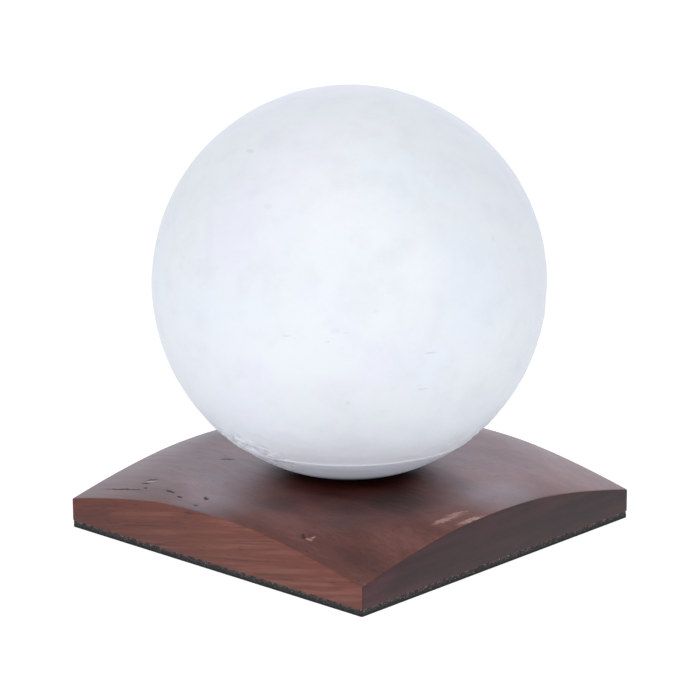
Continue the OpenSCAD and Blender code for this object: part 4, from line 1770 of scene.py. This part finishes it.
@dataclass
class MoonShell:
    """The printed shell from the seam up.

    Attributes:
        centre: Level of the moon's middle.
        radius: Its outer radius.
        inner_radius: Its inner radius.
        seam: Level of its lower rim.
        cells: Faces along each edge of the cube that it is rounded from.
        relief: Greatest depth of its relief.
        crags: Where it is craggy.
        crater_count: Number of craters.
        crater_reach: Angular radius of the smallest, in radians.
        crater_spread: Power by which large ones thin out.
        crater_slope: Depth of a crater for each radian of its reach, in metres.
        crater_limit: Reach beyond which they grow no deeper.
        rolling: Heights of broad and of fine rolling ground, in millimetres.
        broken: Heights of fine ground and of ledges where it is craggy, in millimetres.
        seed: Seed of the craters' places.
    """

    centre: float = 114.441 * MM
    radius: float = 90 * MM
    inner_radius: float = 88.4 * MM
    seam: float = 44.792 * MM
    cells: int = 116
    relief: float = 1.4 * MM
    crags: Crags = Crags()
    crater_count: int = 260
    crater_reach: float = 0.020
    crater_spread: float = -0.45
    crater_slope: float = 0.0034
    crater_limit: float = 0.09
    rolling: tuple[float, float] = (0.14, 0.07)
    broken: tuple[float, float] = (0.9, 0.8)
    seed: int = 7

    def build(self) -> None:
        """Builds the shell and dresses it."""
        shell = self.globe()
        self.carve(shell)
        self.trim(shell)
        self.line_inside(shell)
        face_outwards(shell)
        smooth(shell, 50)
        dress(shell, "moon_globe", Body.MOON, PRINTED.material(), ["moon_shell"])

    def globe(self) -> Piece:
        """Returns a cube round the moon's middle, divided finely.

        Returns:
            The cube.
        """
        deselect_all()
        bpy.ops.mesh.primitive_cube_add(size=2, location=(0, 0, 0))
        globe = bpy.context.object
        edit(globe, everything=True)
        bpy.ops.mesh.subdivide(number_cuts=self.cells - 1)
        leave_edit()
        return globe

    def carve(self, globe: Piece) -> None:
        """Rounds the cube evenly and carves the relief into it, never above the radius.

        Args:
            globe: The globe.
        """
        mesh = globe.data
        places = np.empty(len(mesh.vertices) * 3)
        mesh.vertices.foreach_get("co", places)
        places = np.tan(places.reshape(-1, 3) * (math.pi / 4))
        directions = unit(places)
        craggy = self.crags.amount(directions)
        height = self.crater_heights(directions) + self.rough_heights(directions, craggy)
        depth = np.clip(0.2 * self.relief - height, 0.0, self.relief)
        near_seam = self.radius * directions[:, 2] + self.centre - self.seam
        depth *= np.clip(near_seam / (2.5 * MM), 0.1, 1.0)
        placed = directions * (self.radius - depth)[:, None]
        placed[:, 2] += self.centre
        mesh.vertices.foreach_set("co", placed.ravel())
        store(globe, "craggy", craggy)
        mesh.update()

    def crater_heights(self, directions: np.ndarray) -> np.ndarray:
        """Returns the heights of seeded craters, many small and few large.

        Args:
            directions: Unit vectors, one a row.

        Returns:
            The heights.
        """
        chance = np.random.default_rng(self.seed)
        total = np.zeros(len(directions))
        for _ in range(self.crater_count):
            centre = chance.normal(size=3)
            centre /= np.linalg.norm(centre)
            reach = self.crater_reach * chance.random() ** self.crater_spread
            depth = self.crater_slope * min(reach, self.crater_limit)
            total += Crater(centre, reach, depth).height(directions)
        return total

    def rough_heights(self, directions: np.ndarray, craggy: np.ndarray) -> np.ndarray:
        """Returns uneven ground, rolling where it is gentle and stepped where it is craggy.

        Args:
            directions: Unit vectors, one a row.
            craggy: How craggy the ground is there.

        Returns:
            The heights.
        """
        total = np.empty(len(directions))
        for index, (direction, crag) in enumerate(zip(directions, craggy)):
            place = Vector(direction)
            broad = noise.fractal(place * 3.0, 0.9, 2.0, 3)
            fine = noise.fractal(place * 15.0, 0.6, 2.1, 4)
            total[index] = self.rolling[0] * broad + self.rolling[1] * fine
            if crag > 0:
                ledges = noise.fractal(Vector((place.x * 8, place.y * 8, place.z * 48)), 0.7, 2.0, 3)
                total[index] += crag * (self.broken[0] * fine + self.broken[1] * ledges)
        return total * MM

    def trim(self, globe: Piece) -> None:
        """Cuts the globe off at the seam.

        Args:
            globe: The globe.
        """
        edit(globe, everything=True)
        plane = {"plane_co": (0, 0, self.seam), "plane_no": (0, 0, 1)}
        bpy.ops.mesh.bisect(clear_inner=True, clear_outer=False, threshold=MM / 1000, **plane)
        leave_edit()

    def line_inside(self, globe: Piece) -> None:
        """Adds the inner wall and bridges it to the lower rim.

        Args:
            globe: The globe.
        """
        start = math.acos((self.centre - self.seam) / self.inner_radius)
        points = arc(self.centre, self.inner_radius, start, math.pi, 40)
        points[-1] = (0.0, points[-1][1])
        wall = spin_profile("inner_wall", points, 96)
        deselect_all()
        wall.select_set(True)
        globe.select_set(True)
        bpy.context.view_layer.objects.active = globe
        bpy.ops.object.join()
        edit(globe, "EDGE")
        bpy.ops.mesh.select_non_manifold()
        bpy.ops.mesh.bridge_edge_loops()
        leave_edit()


@dataclass
class BottomCap:
    """The lower cap of the moon, with its level foot, rim, well and bosses.

    Attributes:
        centre: Level of the moon's middle.
        radius: Its outer radius.
        wall: Its thickness.
        seam: Level at which it meets the shell.
        foot: Level of its foot.
        floor: Level of the well's floor.
        well_radius: Radius of the well of the magnet.
        well_wall: Outer radius of the well's wall.
        well_top: Level of the top of the well and the bosses.
        lip_outer: Outer radius of the rim that enters the shell.
        lip_inner: Its inner radius.
        lip_height: Its height above the seam.
        boss_reach: Distance of the bosses from the axis.
        boss_radius: Their radius.
        bore_radius: Radius of their screw bores.
        bore_length: Length of the rod that cuts each bore, half of it above the boss.
        crags: Where it is craggy.
    """

    centre: float = 114.441 * MM
    radius: float = 89.7 * MM
    wall: float = 2 * MM
    seam: float = 44.792 * MM
    foot: float = 27.7 * MM
    floor: float = 29.3 * MM
    well_radius: float = 20.05 * MM
    well_wall: float = 21.85 * MM
    well_top: float = 37.4 * MM
    lip_outer: float = 54.24 * MM
    lip_inner: float = 52.64 * MM
    lip_height: float = 4 * MM
    boss_reach: float = 31 * MM
    boss_radius: float = 3.2 * MM
    bore_radius: float = 1.3 * MM
    bore_length: float = 8 * MM
    crags: Crags = Crags()

    def build(self) -> None:
        """Builds the cap and dresses it."""
        cap = spin_profile("cap", self.section(), 180)
        self.add_bosses(cap)
        face_outwards(cap)
        smooth(cap, 32)
        places = np.array([vertex.co - Vector((0, 0, self.centre)) for vertex in cap.data.vertices])
        store(cap, "craggy", self.crags.amount(unit(places)))
        dress(cap, "moon_cap", Body.MOON, CAP_PRINT.material(), ["bottom_cap"])

    def between(self, radius: float, low: float, high: float, steps: int) -> Outline:
        """Returns points of a circle about the moon's middle between two levels.

        Args:
            radius: The circle's radius.
            low: Level of the first point.
            high: Level of the last point.
            steps: Number of steps between them.

        Returns:
            The points as radius and height.
        """
        first, last = (math.acos((self.centre - level) / radius) for level in (low, high))
        return arc(self.centre, radius, first, last, steps)

    def section(self) -> Outline:
        """Returns the cap's half section, from its foot round to the well's floor.

        Returns:
            The points as radius and height.
        """
        inner = self.radius - self.wall
        ease = 0.3 * MM
        inner_low = self.centre - math.sqrt(inner**2 - self.well_wall**2)
        inner_high = self.centre - math.sqrt(inner**2 - self.lip_inner**2)
        outer = self.between(self.radius, self.foot + 2 * ease, self.seam - ease, 22)
        return [
            (0.0, self.foot),
            (outer[0][0] - 3 * ease, self.foot),
            *outer,
            (outer[-1][0] - ease / 4, self.seam),
            (self.lip_outer, self.seam),
            (self.lip_outer, self.seam + self.lip_height - ease),
            (self.lip_outer - ease, self.seam + self.lip_height),
            (self.lip_inner + ease, self.seam + self.lip_height),
            (self.lip_inner, self.seam + self.lip_height - ease),
            *reversed(self.between(inner, inner_low, inner_high, 14)),
            (self.well_wall, self.well_top - ease),
            (self.well_wall - ease, self.well_top),
            (self.well_radius + ease, self.well_top),
            (self.well_radius, self.well_top - ease),
            (self.well_radius, self.floor),
            (0.0, self.floor),
        ]

    def ball_section(self) -> Outline:
        """Returns the half section of a ball that ends inside the cap's wall."""
        radius = self.radius - self.wall / 2
        return [*self.between(radius, self.centre - radius, self.centre, 32), (0.0, self.centre)]

    def add_bosses(self, cap: Piece) -> None:
        """Stands the three bosses in the cap and bores them.

        Args:
            cap: The cap.
        """
        for turn in range(3):
            angle = 2 * math.pi * turn / 3
            low, high = self.floor, self.well_top
            x, y = self.boss_reach * math.cos(angle), self.boss_reach * math.sin(angle)
            boss = add_rod(Vector((x, y, (low + high) / 2)), self.boss_radius, high - low, sides=32)
            ball = spin_profile("ball", self.ball_section(), 96)
            combine(boss, ball, "INTERSECT")
            combine(cap, boss, "UNION")
            combine(cap, add_rod(Vector((x, y, high)), self.bore_radius, self.bore_length, sides=24))


@dataclass
class LightUnit(Fittings):
    """Everything inside the moon."""

    finishes: dict[str, Finish] = field(
        default_factory=lambda: {
            "float_magnet": NICKEL,
            "coil_carrier": WHITE_PLASTIC,
            "carrier_screws": ZINC,
            "pickup_coil": UPRIGHT_WIRE,
            "lower_spacers": BRASS,
            "receiver_board": BOARD,
            "receiver_parts": CHIP,
            "upper_spacers": BRASS,
            "lamp_board": WHITE_COAT,
            "light_diodes": GEL,
            "lamp_screws": ZINC,
        }
    )


# Studio


def put(name: str, data: bpy.types.ID, place: Triple, turn: Matrix) -> Piece:
    """Adds a camera or light to the scene.

    Args:
        name: Its name.
        data: Its data.
        place: Where it stands.
        turn: How it is turned.

    Returns:
        The new object.
    """
    item = bpy.data.objects.new(name, data)
    bpy.context.scene.collection.objects.link(item)
    item.matrix_world = Matrix.Translation(place) @ turn.to_4x4()
    return item


@dataclass(frozen=True)
class Softbox:
    """A round soft light that faces the lamp.

    Attributes:
        name: Its name.
        place: Where it hangs.
        size: Its width.
        power: Its power, in watts.
        colour: Its colour.
        aim: Level of the place that it faces.
    """

    name: str
    place: Triple
    size: float
    power: float
    colour: Colour = (1.0, 1.0, 1.0)
    aim: float = 0.1

    def build(self) -> None:
        """Hangs the light."""
        data = bpy.data.lights.new(self.name, "AREA")
        data.shape = "DISK"
        data.size = self.size
        data.energy = self.power
        data.color = self.colour
        away = Vector(self.place) - Vector((0, 0, self.aim))
        put(self.name, data, self.place, away.to_track_quat("Z", "Y").to_matrix())


@dataclass
class Studio:
    """Camera, pale floor and soft light.

    Attributes:
        camera_place: Where the camera stands.
        azimuth: Its bearing round the lamp, in degrees.
        elevation: Its height above the horizon, in degrees.
        roll: Its turn about its own axis, in degrees.
        lens: Its focal length, in millimetres.
        sensor: Width of its sensor, in millimetres.
        fill: Strength of the world's light at the horizon.
        fill_tint: Colour of that light.
        zenith: Share of that strength straight above.
        boxes: The soft lights.
        floor_side: Width of the floor.
    """

    camera_place: Triple = (0.96725, -1.03800, 0.47304)
    azimuth: float = 42.9757
    elevation: float = 15.3846
    roll: float = -0.3199
    lens: float = 165.64
    sensor: float = 36.0
    fill: float = 0.66
    fill_tint: Colour = (0.98, 0.99, 1.015)
    zenith: float = 0.98
    boxes: tuple[Softbox, ...] = (
        Softbox("left_box", (1.08, -2.03, 1.50), 1.2, 13.6),
        Softbox("right_box", (1.95, -1.22, 1.50), 1.2, 4.5, (0.97, 0.99, 1.0)),
        Softbox("back_box", (-1.48, 1.90, 0.75), 2.6, 13.5, (0.72, 0.74, 1.0)),
    )
    floor_side: float = 24.0

    def build(self) -> None:
        """Sets up the camera, the world, the floor and the lights."""
        self.add_camera()
        self.light_world()
        self.add_floor()
        for box in self.boxes:
            box.build()
        bpy.context.scene.view_settings.view_transform = "Standard"

    def add_camera(self) -> None:
        """Puts the camera at the photograph's place and makes it the scene's."""
        turn, lift, roll = (math.radians(value) for value in (self.azimuth, self.elevation, self.roll))
        back = Vector((math.sin(turn) * math.cos(lift), -math.cos(turn) * math.cos(lift), math.sin(lift)))
        right = Vector((math.cos(turn), math.sin(turn), 0))
        up = back.cross(right)
        rolled_right = right * math.cos(roll) + up * math.sin(roll)
        rolled_up = up * math.cos(roll) - right * math.sin(roll)
        data = bpy.data.cameras.new("camera")
        data.lens = self.lens
        data.sensor_width = self.sensor
        data.clip_end = 20
        facing = Matrix((rolled_right, rolled_up, back)).transposed()
        bpy.context.scene.camera = put("camera", data, self.camera_place, facing)

    def seen_straight(self, build: NodeBuilder) -> Socket:
        """Returns 1 for rays of the camera, mirrors and glass, and 0 for others.

        Args:
            build: Builder for the material's tree.

        Returns:
            The mask.
        """
        rays = build.add("LightPath").outputs
        direct = build.plus(rays["Is Camera Ray"], rays["Is Glossy Ray"])
        total = build.plus(direct, rays["Is Transmission Ray"])
        return build.math("MINIMUM", total, 1.0)

    def light_world(self) -> None:
        """Makes the world white to look at and an even, slightly cool fill as a light."""
        world = bpy.data.worlds.new("studio")
        bpy.context.scene.world = world
        world.use_nodes = True
        build = NodeBuilder(world.node_tree)
        background = world.node_tree.nodes["Background"]
        height = build.split(build.add("TexCoord").outputs["Generated"])[2]
        level = tuple(tint * self.fill for tint in self.fill_tint)
        zenith = tuple(tint * self.fill * self.zenith for tint in self.fill_tint)
        sky = build.mix(build.ramp(height, 0.0, 1.0), level, zenith)
        colour = build.mix(self.seen_straight(build), sky, (1.0, 1.0, 1.0))
        world.node_tree.links.new(colour, background.inputs["Color"])
        background.inputs["Strength"].default_value = 1.0

    def glowing(self, build: NodeBuilder, tone: Colour, light: Colour, strength: float) -> Socket:
        """Returns a matt surface that gives off light as well.

        Args:
            build: Builder for the floor's tree.
            tone: The surface's colour.
            light: Colour of its light.
            strength: Strength of its light.

        Returns:
            The shader.
        """
        matt = build.add("BsdfDiffuse", {"Color": tone}).outputs[0]
        glow = build.add("Emission", {"Color": light, "Strength": strength}).outputs[0]
        both = build.add("AddShader")
        for socket, part in zip(both.inputs, (matt, glow)):
            build.plug(socket, part)
        return both.outputs[0]

    def add_floor(self) -> None:
        """Lays a pale floor that looks almost white and keeps the lamp's shadow."""
        deselect_all()
        bpy.ops.mesh.primitive_plane_add(size=self.floor_side, location=(0, 0, 0))
        floor = bpy.context.object
        floor.name = "floor"
        material = bpy.data.materials.new("pale_floor")
        material.use_nodes = True
        build = NodeBuilder(material.node_tree)
        build.tree.nodes.remove(build.tree.nodes["Principled BSDF"])
        seen = self.glowing(build, (0.30, 0.30, 0.30), (1.0, 1.0, 1.0), 0.86)
        under = self.glowing(build, (0.90, 0.90, 0.90), (0.98, 0.99, 1.0), 0.26)
        chosen = build.add("MixShader", {"Fac": self.seen_straight(build)})
        for socket, part in zip(chosen.inputs[1:], (under, seen)):
            build.plug(socket, part)
        build.plug(build.tree.nodes["Material Output"].inputs["Surface"], chosen.outputs[0])
        floor.data.materials.append(material)


def main() -> None:
    """Builds the lamp and its studio."""
    logging.basicConfig(level=logging.INFO, format="%(message)s")
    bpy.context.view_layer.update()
    for part in (Studio(), WoodBlock(), FoamPad(), BaseFittings(), MoonShell(), BottomCap(), LightUnit()):
        LOG.info("building %s", type(part).__name__)
        part.build()
    deselect_all()


if __name__ == "__main__":
    main()
